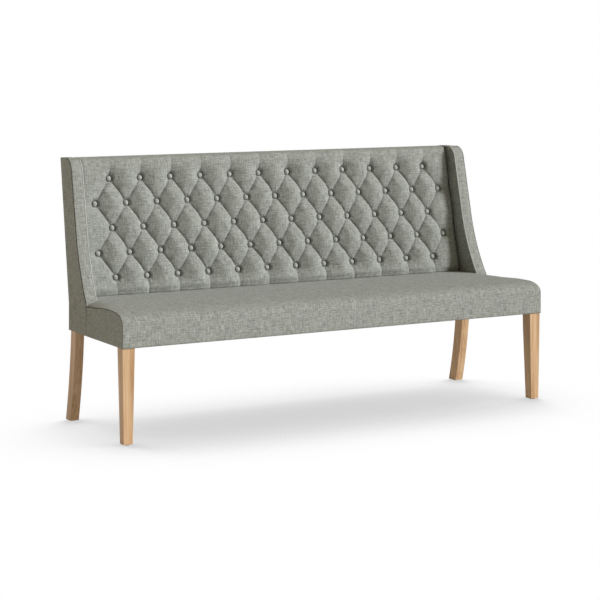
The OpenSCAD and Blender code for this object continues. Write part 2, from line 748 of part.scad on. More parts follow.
// Share of the side margin over which the outer puffs fall to the smooth strip
side_ramp_share = 0.7;
top_round_shares = [1, 0.9, 0.5];
top_s_shares = [0.4, 0.78, 1];
foot_round_shares = [0.55, 0.9];
cushion_s = concat(
    [0, first_row_s * 0.25],
    [for (k = [0 : 2 * (rows - 1)]) first_row_s + k * row_pitch / 2],
    [for (t = top_s_shares) last_row_s + (cushion_top_s - last_row_s) * t]);
function round_share(k) = k < 2 ? foot_round_shares[k]
    : k > len(cushion_s) - 4 ? top_round_shares[k - len(cushion_s) + 3] : 1;
function pad_point(x, s, f) = [x, pad_plane(seat_z, 0) + s * sin(tuft_rake) - f * cos(tuft_rake),
    seat_z + s * cos(tuft_rake) + f * sin(tuft_rake)];
// One ring round the cushion at a column; the outermost columns follow the wings
function cushion_ring(col) =
    let (last = 2 * (long_row - 1), side = col > 0 ? 1 : -1,
         at_wing = abs(col) > last + 1,
         x = side * (min(abs(col), last) * tuft_dx / 4
             + (abs(col) - last) * side_margin / 2 * (abs(col) > last ? 1 : 0)),
         front = [for (k = [0 : len(cushion_s) - 1])
             pad_point(x * spread(cushion_s[k]), max(cushion_s[k], soft_gap / cos(tuft_rake)),
                 tuft_height(x, cushion_s[k]) * round_share(k))],
         x_top = x * spread(cushion_top_s),
         ring = concat(front, [
             [x_top, rear_y(overall_h) - top_pad_t / 2, overall_h],
             [x_top, rear_y(overall_h - top_pad_t / 2), overall_h - top_pad_t / 2],
             [x_top, rear_y(top_rail_z1), top_rail_z1 + soft_gap],
             [x_top, pad_plane(top_rail_z1, 0), top_rail_z1 + soft_gap],
             [x * spread(0), pad_plane(pad_z0, 0), pad_z0]]))
    [for (p = ring) at_wing ? [side * side_x(wing_t + soft_gap, p[1], p[2]), p[1], p[2]] : p];
cushion_hub = len(cushion_s) + 3;
// Turns the seam of a button's pocket off the pleats
pocket_turn = 11;
module back_cushion() {
    last = 2 * (long_row - 1) + 2;
    color(fabric) bench() difference() {
        loft([for (col = [-last : last]) cushion_ring(col)], cushion_hub);
        at_buttons() rotate([0, pocket_turn, 0])
            pin_back(button_dia / 2 + soft_gap, -over / 2, puff_h + over);
    }
}

// The seat: height of its surface at a share u of its half width and at y
roll_z0 = seat_z - front_fall - roll_h;
seat_rear_y = pad_plane(foam_z0, board_d) - soft_gap;
front_face_shares = [0, 0.5, 1];
seat_top_shares = [0.1, 0.22, 0.36, 0.5, 0.66, 0.84, 1];
seat_u_shares = [1, 0.985, 0.965, 0.94, 0.8, 0.6, 0.4, 0.2, 0];
roll_steps = 6;
function seat_surface(u, y) =
    let (in = (1 - abs(u)) * overall_w / 2,
         draw = edge_drop * ramp((y - roll_d) / (seam_y - roll_d)),
         near = max(0, 1 - in / edge_roll_w))
    seat_z - front_fall * (1 - ramp((y - roll_d) / roll_d)) - draw * near * near;
function roll_pts(u, e) = [for (i = [1 : roll_steps]) let (a = 90 * i / roll_steps)
    [roll_d - (roll_d - e) * cos(a), roll_z0 + (roll_h - e) * sin(a)]];
function top_pts(u, e) = [for (t = seat_top_shares) let (y = roll_d + (seat_rear_y - roll_d) * t)
    [y, seat_surface(u, y) - e]];
function seat_path(u, e, z0) = concat(
    [for (t = front_face_shares) [e, z0 + (roll_z0 - z0) * t]], roll_pts(u, e), top_pts(u, e));
function across(u, p) = [u * side_x(cover_t, p[0], p[1]), p[0], p[1]];
seat_us = concat(-seat_u_shares, [for (i = [len(seat_u_shares) - 2 : -1 : 0]) seat_u_shares[i]]);
module seat_cover() {
    color(fabric) bench() clear_of_wings() sheet(
        [for (u = seat_us) [for (p = seat_path(u, 0, base_z)) across(u, p)]],
        [for (u = seat_us) [for (p = seat_path(u, cover_t, base_z)) across(u, p)]]);
}
module seat_foam() {
    e = cover_t + soft_gap;
    rings = [for (u = seat_us) [
        for (p = concat([[e, foam_z0]], roll_pts(u, e), top_pts(u, e), [[seat_rear_y, foam_z0]]))
            across(u, p)]];
    color(foam) bench() clear_of_wings() loft(rings, 1 + roll_steps + len(seat_top_shares));
}
// Side panels of the seat follow the seat's edge
panel_y_shares = [0, 0.12, 0.3, 0.5, 0.75, 1];
module seat_side_panel_shape() {
    side_layer(0, cover_t) polygon(concat(
        [[0, base_z]], [[0, roll_z0]], roll_pts(1, 0),
        [for (t = panel_y_shares) if (t > 0)
            let (y = roll_d + (seam_y - roll_d) * t) [y, seat_surface(1, y)]],
        [[seam_y, base_z]]));
}
module seat_side_panel_left() { color(fabric) bench() left() seat_side_panel_shape(); }
module seat_side_panel_right() { color(fabric) bench() seat_side_panel_shape(); }

// Webbing, lining and dust cover
strap_pitch = (overall_w - 2 * (wing_t + strap_w)) / (strap_count - 1);
module seat_webbing() {
    color("#3a3530") bench() for (i = [0 : strap_count - 1])
        let (x = (i - (strap_count - 1) / 2) * strap_pitch * strap_reach_share)
        bar(x - strap_w / 2, x + strap_w / 2)
            upright(cover_t + strap_set, rear_rail_y1 - strap_set, rail_z1, rail_z1 + strap_t);
}
// Share of the straps' spacing that keeps the end straps inside the back posts
strap_reach_share = 0.94;
module seat_lining() {
    color("#8d8a80") bench() clear_of_wings() inner(cover_t)
        upright(cover_t + strap_set, seat_rear_y, rail_z1 + strap_t, foam_z0);
}
module dust_cover() {
    color(black_cloth) bench() difference() {
        inner(cover_t) upright(cover_t, rear_y(base_z, cover_t), base_z, base_z + dust_t);
        leg_clearance();
        left() leg_clearance();
    }
}
module leg_clearance() {
    front_in = cover_t + front_leg_top + hole_gap;
    side_box(-over, front_in, -over, front_in, 0, rail_z0 + over);
    side_box(-over, cover_t + rear_leg_w + hole_gap,
        rear_y1 - rear_leg_d - rear_gap, rear_y1 + rear_gap, 0, rail_z0 + over);
}
staple_set = rail_t / 2;
module staple(x, y) {
    translate([x - staple_w / 2, y - staple_t / 2, base_z - staple_t]) cube([staple_w, staple_t, staple_t]);
}
module dust_cover_staples() {
    count = floor((overall_w / 2 - 2 * front_leg_top) / staple_pitch);
    edges = [cover_t + staple_set, rear_y(base_z, cover_t) - staple_set];
    color(steel) bench() for (i = [-count : count], y = edges)
        staple(i * staple_pitch, y);
}

front_leg_left();
front_leg_right();
rear_leg_left();
rear_leg_right();
floor_glides();
front_seat_rail();
rear_seat_rail();
side_seat_rail_left();
side_seat_rail_right();
cross_rails();
corner_blocks();
leg_bolts();
bolt_washers();
frame_bolts();
back_post_left();
back_post_right();
back_top_rail();
back_lower_rail();
back_bottom_rail();
back_centre_posts();
wing_frame_left();
wing_frame_right();
wing_pad_left();
wing_pad_right();
wing_border_left();
wing_border_right();
outer_side_panel_left();
outer_side_panel_right();
outer_back_panel();
tufting_board();
board_screws();
back_foam();
back_cushion();
tuft_buttons();
button_ties();
button_toggles();
seat_webbing();
seat_lining();
seat_foam();
seat_cover();
seat_side_panel_left();
seat_side_panel_right();
dust_cover();
dust_cover_staples();
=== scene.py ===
"""Looks of an upholstered banquette bench with a button-tufted back, low wings and oak legs.

Metres, in the frame of the CAD part. The sitter faces -Y, and y in the shape functions is
counted from the seat front. Depths named d are measured inward from the outer side face.
"""

import json
from math import cos, radians, sin, sqrt, tan

import bpy
import numpy as np
from mathutils import Euler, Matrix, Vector


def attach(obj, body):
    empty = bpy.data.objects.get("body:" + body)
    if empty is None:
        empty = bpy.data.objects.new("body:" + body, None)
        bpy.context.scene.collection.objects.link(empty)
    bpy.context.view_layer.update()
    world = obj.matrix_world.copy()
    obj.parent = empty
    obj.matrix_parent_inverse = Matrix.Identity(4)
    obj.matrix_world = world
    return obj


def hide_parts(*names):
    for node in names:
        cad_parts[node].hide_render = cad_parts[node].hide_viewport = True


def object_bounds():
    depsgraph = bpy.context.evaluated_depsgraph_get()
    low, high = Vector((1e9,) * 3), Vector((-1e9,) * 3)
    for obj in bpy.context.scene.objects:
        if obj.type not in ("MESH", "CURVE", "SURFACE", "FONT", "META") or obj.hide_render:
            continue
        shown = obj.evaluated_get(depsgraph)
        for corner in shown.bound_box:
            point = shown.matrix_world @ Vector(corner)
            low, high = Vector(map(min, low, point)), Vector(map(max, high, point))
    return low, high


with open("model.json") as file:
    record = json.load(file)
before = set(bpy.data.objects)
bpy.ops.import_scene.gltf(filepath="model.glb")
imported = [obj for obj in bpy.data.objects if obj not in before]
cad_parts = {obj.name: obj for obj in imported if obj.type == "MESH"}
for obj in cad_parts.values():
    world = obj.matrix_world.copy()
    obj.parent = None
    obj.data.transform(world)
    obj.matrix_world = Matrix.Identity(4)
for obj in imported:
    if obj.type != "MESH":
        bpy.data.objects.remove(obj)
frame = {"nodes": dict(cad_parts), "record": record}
cad_box = [list(corner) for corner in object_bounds()]

# Sizes of the bench, as in the CAD source
OVERALL_W, OVERALL_D, OVERALL_H = (round(high - low, 4) for low, high in zip(*cad_box))
BASE_Z = 0.341
SEAT_Z = 0.466
SIDE_TAPER = radians(2.5)
SIDE_LEAN = radians(1.05)
COVER_T = 0.003
ROLL_D = 0.08
ROLL_H = 0.038
FRONT_FALL = 0.0035
EDGE_DROP = 0.016
EDGE_ROLL_W = 0.06
FOAM_Z0 = 0.4225
WING_T = 0.047
WING_D = 0.116
WING_BEND_Z = 0.7
WING_RAKE = radians(12.1)
WING_SWEEP_R = 0.74
WING_CORNER_R = 0.05
WING_FOOT_D = 0.174
PANEL_FOOT_D = 0.03
KICK_Z = 0.44
OUTER_RAKE = radians(9.4)
TUFT_RAKE = radians(10.9)
BACK_CORE_D = 0.054
TOP_PAD_T = 0.012
LONG_ROW = 13
ROWS = 5
FIRST_ROW_S = 0.064
ROW_PITCH = 0.0918
SIDE_MARGIN = 0.06
SOFT_GAP = 0.0003
FRONT_LEG = 0.0473
REAR_LEG_W = 0.0343
REAR_LEG_D = 0.046
REAR_LEG_INSET = 0.019
LEG_GAP = 0.003
LEG_EDGE_R = 0.0015

# Cloth and its seams
CLOTH_T = 0.002
DUST_CLOTH_T = 0.0008
DUST_SAG = 0.006
DUST_SAG_INSET = 0.025
SEAM_R = 0.003
BAND_EDGE_R = 0.0035
PAD_EDGE_R = 0.006
BAND_CROWN = 0.0012
PANEL_D = 0.0004
BACK_PANEL_D = 0.0006
BACK_SIDE_D = 0.0005
BAND_INSET = 0.0002
BAND_REAR_EASE = 0.0005
BACK_TOP_EASE = 0.001
BACK_WANDER = 0.0005
PAD_WANDER = 0.00045
PAD_WANDER_FADE = 0.02
END_WANDER = 0.0004
INNER_CORD_R = 0.0021
INNER_CORD_D = WING_T - 0.0022
OUTER_CORD_R = 0.0015
OUTER_CORD_D = 0.0017
SEAT_CORD_R = 0.0011
SEAT_CORD_D = 0.0012
JOINT_CORD_D = 0.0014
OUTER_CORD_BACK = 0.0009
INNER_CORD_BACK = 0.0005
CORD_SHIFT_Z = 0.0002

# Two small upright ridges in the cloth of a seat end: y, width and share of the height
FOLD_PLACES = ((0.15, 0.006, 1.0), (0.169, 0.007, 0.7))
FOLD_H = 0.0012
FOLD_FOOT_Z = 0.38
FOLD_FOOT_FADE = 0.04
FOLD_EDGE_FADE = 0.012

# Puffs, folds and button wells of the back
PUFF_H = 0.026
PUFF_BASE = 0.0055
CREASE_SHARE = 0.22
PUFF_LEAN = 1.2
PUFF_POWER = 0.42
PLEAT_POWER = 0.26
PLEAT_REACH = 0.05
PLEAT_FILL_SHARE = 0.9
TOP_PLEAT_FADE = 0.7
LOW_PLEAT_FADE = 0.35
SIDE_PAD_H = 0.017
SIDE_PUFF_H = 0.024
SLACK = 0.0006
GATHER_R = 0.018
GATHER_W = 0.012
GATHER_FOLDS = 9
WELL_R = 0.0152
WELL_SHARE = 0.97
BUTTON_REACH = 0.05
BUTTON_D = 0.021
BUTTON_H = 0.0112
CELLS_PER_TILE = 26

# The cloth is drawn in beside a wing: shares of its height, each within a reach of the wing
WALL_TUCKS = ((0.55, 0.02), (0.42, 0.005))
WALL_TUCK_TOP_S = 0.07
WALL_TUCK_FADE = 0.03

# Painted shade: how much darker the cloth is painted in a fold, a well, under a rim and along the
# wing
FOLD_SHADE = 0.12
FOLD_SHADE_SHARE = 0.06
PLEAT_SHADE_SHARE = 0.15
FIELD_EDGE_FADE = 0.004
WELL_SHADE = 0.8
WELL_SHADE_R = 0.0112
WELL_SHADE_FADE = 0.003
WELL_SHADE_WIDER = 1.15
WELL_TOP_SHARE = 0.35
RIM_SHADE = 0.45
RIM_SHARE = 0.8
WALL_SHADE = 0.9
WALL_SHADE_W = 0.009
TINY = 1e-9

# Swell of the seat
SEAT_CROWN = 0.0018
CROWN_D = 0.46
FACE_SWELL = 0.0016
FACE_INSET = 0.0006
SEAT_UNDER_BACK = 0.012

# Places that follow from the sizes
BACK_Y = OVERALL_D - (OVERALL_H - KICK_Z) * tan(OUTER_RAKE)
PAD_Y = BACK_Y - BACK_CORE_D
SEAM_Y = BACK_Y - WING_FOOT_D
TOP_RAIL_Z = OVERALL_H - TOP_PAD_T
ROLL_Z = SEAT_Z - FRONT_FALL - ROLL_H
LAST_ROW_S = FIRST_ROW_S + (ROWS - 1) * ROW_PITCH


# Numbers and points shared by the shapes
def ramp(t):
    """A smooth step from nought to one."""
    c = np.clip(t, 0, 1)
    return c * c * (3 - 2 * c)


def rear_y(z):
    """The outer back: upright below its bend, raked above it."""
    return BACK_Y + np.maximum(np.asarray(z, float) - KICK_Z, 0) * tan(OUTER_RAKE)


def pad_plane(z, behind=0.0):
    """The front of the foam slab behind the puffs, or a plane that far behind it."""
    return PAD_Y + (z - KICK_Z) * tan(TUFT_RAKE) + behind / cos(TUFT_RAKE)


def side_x(d, y, z):
    """Half width of the bench, less a depth, where its sides taper to the back and lean in."""
    reach = d + y * sin(SIDE_TAPER) * cos(SIDE_LEAN) + (z - BASE_Z) * sin(SIDE_LEAN)
    return OVERALL_W / 2 - reach / (cos(SIDE_TAPER) * cos(SIDE_LEAN))


def on_pad(x, s, f):
    """A point on the tufted face: s up the slope from the seat, f in front of the foam slab."""
    y = pad_plane(SEAT_Z) + s * sin(TUFT_RAKE) - f * cos(TUFT_RAKE)
    z = SEAT_Z + s * cos(TUFT_RAKE) + f * sin(TUFT_RAKE)
    return np.stack(np.broadcast_arrays(x, y, z), -1)


def placed(points):
    """Points with y counted from the seat front, moved to the part's frame."""
    moved = np.array(points, float)
    moved[..., 1] -= OVERALL_D / 2
    return moved


def mirrored(side, points):
    points = points.copy()
    points[..., 0] *= side
    return points


def run_along(path):
    """The length run at each point of a path."""
    return np.concatenate([[0], np.cumsum(np.linalg.norm(np.diff(path, axis=0), axis=1))])


def edge_turn(distance, radius=SEAM_R):
    """How deep the cloth turns in at a distance from a seam."""
    return radius - np.sqrt(np.maximum(0, radius**2 - np.maximum(0, radius - distance) ** 2))


NEAR_EDGE = np.array([0, 0.00015, 0.0004, 0.0008, 0.0014, 0.0022, 0.0032])


def across_between(low, high, middle):
    """Stations from low to high, close together near both ends."""
    inner_low, inner_high = low + NEAR_EDGE[-1], high - NEAR_EDGE[-1]
    inner = inner_low + (inner_high - inner_low) * np.linspace(0, 1, middle)[1:-1]
    return np.concatenate([low + NEAR_EDGE, inner, (high - NEAR_EDGE)[::-1]])


# Meshes
def new_piece(name, mesh, material):
    """An object for a finished mesh, smooth and in one material."""
    mesh.polygons.foreach_set("use_smooth", [True] * len(mesh.polygons))
    mesh.materials.append(material)
    piece = bpy.data.objects.new(name, mesh)
    bpy.context.scene.collection.objects.link(piece)
    return piece


CREASE_STEP = 0.0002


def split_low(quads, corners, height):
    """Splits each quad that a crease crosses along its lower diagonal, so creases run clean."""
    level = height.reshape(-1)[corners]
    along, across = level[:, 0] + level[:, 2], level[:, 1] + level[:, 3]
    plain = np.abs(along - across) < CREASE_STEP
    faces, face_corners = [], []
    for quad, corner, whole, first in zip(quads.tolist(), corners.tolist(), plain, along <= across):
        halves = [(0, 1, 2), (0, 2, 3)] if first else [(0, 1, 3), (1, 2, 3)]
        for part in [(0, 1, 2, 3)] if whole else halves:
            faces.append([quad[k] for k in part])
            face_corners += [corner[k] for k in part]
    return faces, np.array(face_corners)


def grid_quads(i, k, k1, cols):
    """Four grid indices for each cell, whose columns run from k to k1."""
    corners = [i * cols + k, (i + 1) * cols + k, (i + 1) * cols + k1, i * cols + k1]
    return np.stack(corners, -1).reshape(-1, 4)


def grid_mesh(name, points, uv, material, closed=False, flip=False, height=None):
    """A smooth mesh over a grid of points.

    Closed joins each row's end to its start and caps both ends. With a height for each point,
    the quads that a crease crosses are split.
    """
    rows, cols = points.shape[:2]
    last = cols if closed else cols - 1
    i, k = np.meshgrid(np.arange(rows - 1), np.arange(last), indexing="ij")
    k1 = (k + 1) % cols
    quads = grid_quads(i, k, k1, cols)
    corners = grid_quads(i, k, np.where(k1 == 0, k, k1), cols)
    if flip:
        quads, corners = quads[:, ::-1], corners[:, ::-1]
    if height is None:
        faces, corners = quads.tolist(), corners.reshape(-1)
    else:
        faces, corners = split_low(quads, corners, height)
    flat_points = placed(points).reshape(-1, 3)
    flat_uv = uv.reshape(-1, 2)[corners]
    if closed:
        caps = [list(range(cols)), list(range(rows * cols - 1, (rows - 1) * cols - 1, -1))]
        faces += caps
        flat_uv = np.concatenate([flat_uv, flat_points[caps[0] + caps[1]][:, 1:]])
    mesh = bpy.data.meshes.new(name)
    mesh.from_pydata(flat_points.tolist(), [], faces)
    layer = mesh.uv_layers.new(name="weave")
    layer.data.foreach_set("uv", flat_uv.astype(np.float32).ravel())
    return new_piece(name, mesh, material)


def set_painted_shade(piece, values):
    """Gives each point of a piece the share of painted shade by which the linen is darker there."""
    layer = piece.data.attributes.new("tuck", "FLOAT", "POINT")
    layer.data.foreach_set("value", values.astype(np.float32).ravel())


def thickened(piece, thickness=CLOTH_T):
    modifier = piece.modifiers.new("thickness", "SOLIDIFY")
    modifier.thickness = thickness
    modifier.offset = -1


def soft_piece(piece, nodes):
    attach(piece, "root")
    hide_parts(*nodes)
    return piece


def stretched(piece, points, flat=None):
    """Works out the area of a cover's cloth and the size that it is drawn over; the result is not
    used.
    """
    spans = np.sort(np.ptp(points.reshape(-1, 3), axis=0))[1:] if flat is None else np.array(flat)
    across, along = points[1:, :-1] - points[:-1, :-1], points[:-1, 1:] - points[:-1, :-1]
    area = float(np.linalg.norm(np.cross(across, along), axis=-1).sum())
    min(area, float(spans.prod()))


# Nodes that the materials share
def new_material(name, colour, roughness):
    material = bpy.data.materials.new(name)
    material.use_nodes = True
    shader = material.node_tree.nodes["Principled BSDF"]
    shader.inputs["Base Color"].default_value = (*colour, 1)
    shader.inputs["Roughness"].default_value = roughness
    return material, material.node_tree, shader


def texture(tree, kind, source, scale, settings):
    """A texture stretched by a scale for each axis of the source coordinates."""
    mapping = tree.nodes.new("ShaderNodeMapping")
    mapping.inputs["Scale"].default_value = scale
    tree.links.new(source, mapping.inputs["Vector"])
    pattern = tree.nodes.new(kind)
    pattern.inputs["Scale"].default_value = 1.0
    for socket, value in settings.items():
        pattern.inputs[socket].default_value = value
    tree.links.new(mapping.outputs["Vector"], pattern.inputs["Vector"])
    return pattern.outputs["Fac"]


def noise(tree, source, scale, detail):
    return texture(tree, "ShaderNodeTexNoise", source, scale, {"Detail": detail})


def wave(tree, source, scale):
    return texture(tree, "ShaderNodeTexWave", source, scale, {"Distortion": 1.5, "Detail": 1.0})


def node_math(tree, operation, a, b):
    node = tree.nodes.new("ShaderNodeMath")
    node.operation = operation
    for socket, value in zip(node.inputs, (a, b)):
        if isinstance(value, (int, float)):
            socket.default_value = value
        else:
            tree.links.new(value, socket)
    return node.outputs[0]


def weighted(tree, parts):
    """The sum of node values, each times its weight."""
    total = 0.0
    for value, weight in parts:
        total = node_math(tree, "ADD", total, node_math(tree, "MULTIPLY", value, weight))
    return total


def colour_ramp(tree, value, stops):
    node = tree.nodes.new("ShaderNodeValToRGB")
    while len(node.color_ramp.elements) < len(stops):
        node.color_ramp.elements.new(0.5)
    for element, (position, colour) in zip(node.color_ramp.elements, stops):
        element.position = position
        element.color = (*colour, 1)
    tree.links.new(value, node.inputs["Fac"])
    return node.outputs["Color"]


def add_bump(tree, shader, height, distance, strength):
    node = tree.nodes.new("ShaderNodeBump")
    node.inputs["Strength"].default_value = strength
    node.inputs["Distance"].default_value = distance
    tree.links.new(height, node.inputs["Height"])
    tree.links.new(node.outputs["Normal"], shader.inputs["Normal"])


# Materials
SLUBS_PER_M = (420, 52)
LONG_SLUBS_PER_M = (260, 15)
THREADS_PER_M = 262
BLOTCHES_PER_M = 30
GRAINS_PER_M = 800
TINT_SPREAD = 0.16


def linen(name, dark, mid, light, contrast=1.0):
    """A woven linen look: long thin slubs across and along the cloth over a fine plain weave.

    The mesh's tuck values darken it with painted shade, where it is drawn into a fold and less
    light gets in.
    """
    material, tree, shader = new_material(name, mid, 0.92)
    shader.inputs["Sheen Weight"].default_value = 0.12
    shader.inputs["Specular IOR Level"].default_value = 0.2
    uv = tree.nodes.new("ShaderNodeTexCoord").outputs["UV"]
    fine, sparse = SLUBS_PER_M
    long_fine, long_sparse = LONG_SLUBS_PER_M
    across = noise(tree, uv, (sparse, fine, 1), 3)
    along = noise(tree, uv, (fine, sparse, 1), 3)
    long_across = noise(tree, uv, (long_sparse, long_fine, 1), 1)
    long_along = noise(tree, uv, (long_fine, long_sparse, 1), 1)
    blotch = noise(tree, uv, (BLOTCHES_PER_M, BLOTCHES_PER_M, 1), 2)
    grain = noise(tree, uv, (GRAINS_PER_M, GRAINS_PER_M, 1), 1)
    slub = weighted(tree, [(across, 0.3), (along, 0.28), (long_across, 0.14), (long_along, 0.14),
                           (blotch, 0.04), (grain, 0.1)])
    spread = TINT_SPREAD / contrast
    tint = colour_ramp(tree, slub, [(0.5 - spread, dark), (0.5, mid), (0.5 + spread, light)])
    # Painted shade: the tuck attribute darkens the woven colour in folds, wells and beside the
    # wings.
    tuck = tree.nodes.new("ShaderNodeAttribute")
    tuck.attribute_name = "tuck"
    shaded = tree.nodes.new("ShaderNodeVectorMath")
    shaded.operation = "SCALE"
    tree.links.new(tint, shaded.inputs[0])
    tree.links.new(node_math(tree, "SUBTRACT", 1.0, tuck.outputs["Fac"]), shaded.inputs["Scale"])
    tree.links.new(shaded.outputs["Vector"], shader.inputs["Base Color"])
    weft = wave(tree, uv, (0, THREADS_PER_M, 0))
    warp = wave(tree, uv, (THREADS_PER_M, 0, 0))
    weave = weighted(tree, [(weft, 0.25), (warp, 0.25), (slub, 1.2)])
    add_bump(tree, shader, weave, 0.0009, 0.7)
    return material


def wood(name, plain, roughness, layers, stops, relief, strength):
    """Straight-grained wood: layers of noise, each with its scale, detail and weight."""
    material, tree, shader = new_material(name, plain, roughness)
    place = tree.nodes.new("ShaderNodeTexCoord").outputs["Object"]
    grain = weighted(
        tree, [(noise(tree, place, scale, detail), weight) for scale, detail, weight in layers]
    )
    tree.links.new(colour_ramp(tree, grain, stops), shader.inputs["Base Color"])
    add_bump(tree, shader, grain, relief, strength)
    return material


def speckled(name, dark, light, roughness, scale, metallic=0.0, relief=0.0004):
    """A plain finish with fine mottling and relief."""
    material, tree, shader = new_material(name, light, roughness)
    shader.inputs["Metallic"].default_value = metallic
    place = tree.nodes.new("ShaderNodeTexCoord").outputs["Object"]
    mottle = noise(tree, place, (scale, scale, scale), 3)
    tint = colour_ramp(tree, mottle, [(0.35, dark), (0.65, light)])
    tree.links.new(tint, shader.inputs["Base Color"])
    add_bump(tree, shader, mottle, relief, 0.5)
    return material


# Broad bands, streaks and pores of the oak; bands and flecks of the beech
OAK_LAYERS = [((38, 38, 2.2), 3, 0.45), ((210, 210, 7), 3, 0.4), ((900, 900, 26), 2, 0.15)]
OAK_STOPS = [
    (0.36, (0.43, 0.245, 0.115)),
    (0.5, (0.625, 0.40, 0.217)),
    (0.64, (0.73, 0.505, 0.305)),
]
BEECH_LAYERS = [((8, 120, 120), 3, 0.7), ((60, 400, 400), 2, 0.3)]
BEECH_STOPS = [(0.35, (0.52, 0.37, 0.22)), (0.65, (0.74, 0.59, 0.41))]

FABRIC = linen(
    "linen", (0.158, 0.173, 0.156), (0.338, 0.357, 0.330), (0.567, 0.587, 0.560), contrast=1.25
)
# Painted shade: a near-black cloth for cords laid in the seams' grooves, where shade falls.
SEAM_SHADE = speckled("seam_shade", (0.02, 0.019, 0.016), (0.05, 0.048, 0.04), 0.95, 600)
# Painted light: a lighter copy of the linen for the buttons, for the light their domes catch.
BUTTON_CLOTH_PAINTED_LIGHT = linen("button_linen_painted_light", (0.22, 0.24, 0.22), (0.45, 0.47, 0.44), (0.66, 0.68, 0.65))
# Painted highlight: a pale cloth for the cord on each wing's inner seam ridge, lighter than the
# cover for the light it catches.
SEAM_PAINTED_HIGHLIGHT = speckled("seam_painted_highlight", (0.50, 0.52, 0.49), (0.68, 0.70, 0.67), 0.85, 700)
OAK = wood("pale_oak", (0.62, 0.42, 0.24), 0.5, OAK_LAYERS, OAK_STOPS, 0.0006, 0.35)
TIMBER = wood("planed_beech", (0.66, 0.50, 0.33), 0.65, BEECH_LAYERS, BEECH_STOPS, 0.0004, 0.4)
FOAM = speckled("seat_foam", (0.70, 0.66, 0.48), (0.82, 0.78, 0.60), 0.95, 400)
BLACK_CLOTH = speckled("black_cloth", (0.012, 0.012, 0.012), (0.035, 0.035, 0.035), 0.95, 900)
LINING = speckled("lining_cloth", (0.22, 0.21, 0.18), (0.32, 0.31, 0.27), 0.95, 900)
STEEL = speckled(
    "zinc_steel", (0.45, 0.46, 0.48), (0.62, 0.63, 0.65), 0.35, 300, metallic=1.0, relief=0.0001
)
BLACK_PLASTIC = speckled(
    "black_plastic", (0.015, 0.015, 0.015), (0.03, 0.03, 0.03), 0.45, 500, relief=0.0001
)
TWINE = speckled("waxed_twine", (0.60, 0.56, 0.44), (0.76, 0.72, 0.60), 0.8, 900)

SLOT_MATERIALS = {
    "cover_fabric": FABRIC,
    "oak": OAK,
    "frame_timber": TIMBER,
    "foam": FOAM,
    "under_cloth": BLACK_CLOTH,
    "steel": STEEL,
    "black_plastic": BLACK_PLASTIC,
    "twine": TWINE,
}
for sub in frame["record"]["subparts"]:
    node = frame["nodes"][sub["node"]]
    node.data.materials.clear()
    node.data.materials.append(SLOT_MATERIALS[sub["material_slot"]])
frame["nodes"]["seat_lining"].data.materials[0] = LINING


# The tufted back
def field_half(s):
    """Half width of the buttoned field at s: it follows the wings, which lean inward."""
    y = pad_plane(SEAT_Z) + s * sin(TUFT_RAKE)
    return side_x(WING_T, y, SEAT_Z + s * cos(TUFT_RAKE)) - SIDE_MARGIN


FIELD_HALF = field_half(LAST_ROW_S)
TUFT_DX = 2 * FIELD_HALF / (LONG_ROW - 1)


def spread(s):
    """How much wider the pattern is at s than at the top row."""
    return field_half(s) / FIELD_HALF


def row_count(j):
    return LONG_ROW - 1 + j % 2


def button_places():
    """x and s of every button, x as at the top row's spacing."""
    return [((i - (row_count(j) - 1) / 2) * TUFT_DX, FIRST_ROW_S + j * ROW_PITCH)
            for j in range(ROWS) for i in range(row_count(j))]


def near_buttons(x, s):
    """For each button its place, which points are near it, and how far they lie from it."""
    for bx, bs in button_places():
        near = (np.abs(x - bx) < BUTTON_REACH) & (np.abs(s - bs) < BUTTON_REACH)
        yield (bx, bs), near, (x - bx)[near], (s - bs)[near]


def field_x(s):
    """Half width of the buttoned field: the zigzag through the end buttons of the rows."""
    t = np.abs((np.clip((s - FIRST_ROW_S) / ROW_PITCH, 0, ROWS - 1) + 2) % 2 - 1)
    return (LONG_ROW - 2 + (1 - t)) / 2 * TUFT_DX


def to_wing(x):
    return FIELD_HALF + SIDE_MARGIN - np.abs(x)


def puff_wave(t):
    """Nought at each fold and one in the middle of a puff, fuller on its right side."""
    return np.sin(np.pi * (t % 1) ** PUFF_LEAN)


def fold_waves(x, s):
    """Two waves that are nought along the two sets of folds, and how far s is outside the rows."""
    a = np.clip(x, -field_x(s), field_x(s)) / TUFT_DX + 0.5
    b = (np.clip(s, FIRST_ROW_S, LAST_ROW_S) - FIRST_ROW_S) / (2 * ROW_PITCH)
    out = ramp(np.maximum(s - LAST_ROW_S, FIRST_ROW_S - s) / PLEAT_REACH)
    return puff_wave(a + b), puff_wave(a - b), out


def puff_height(x, s):
    """Height of the tufted cloth above the foam slab."""
    edge = field_x(s)
    u, v, out = fold_waves(x, s)
    swell = np.maximum(u * v, 0) ** (PUFF_POWER + (PLEAT_POWER - PUFF_POWER) * out)
    fade = np.where(s > LAST_ROW_S, TOP_PLEAT_FADE, LOW_PLEAT_FADE)
    swell += (PLEAT_FILL_SHARE - swell) * out * fade
    off_button = 1 - np.sqrt(np.clip((1 - u * u) * (1 - v * v), 0, 1)) * (1 - out)
    field = PUFF_BASE + PUFF_H * (CREASE_SHARE * off_button + (1 - CREASE_SHARE) * swell)
    half_puff = (FIELD_HALF - edge) / (TUFT_DX / 2)
    rise = np.sqrt(np.sin(np.pi / 2 * np.clip((np.abs(x) - edge) / SIDE_MARGIN, 0, 1)))
    strip = field + (SIDE_PAD_H + (SIDE_PUFF_H - SIDE_PAD_H) * half_puff - field) * rise
    tuck = sum(share * (1 - ramp(to_wing(x) / reach)) for share, reach in WALL_TUCKS)
    tuck = tuck * (1 - ramp((s - LAST_ROW_S - WALL_TUCK_TOP_S) / WALL_TUCK_FADE))
    return np.where(np.abs(x) > edge, strip * (1 - tuck), field)


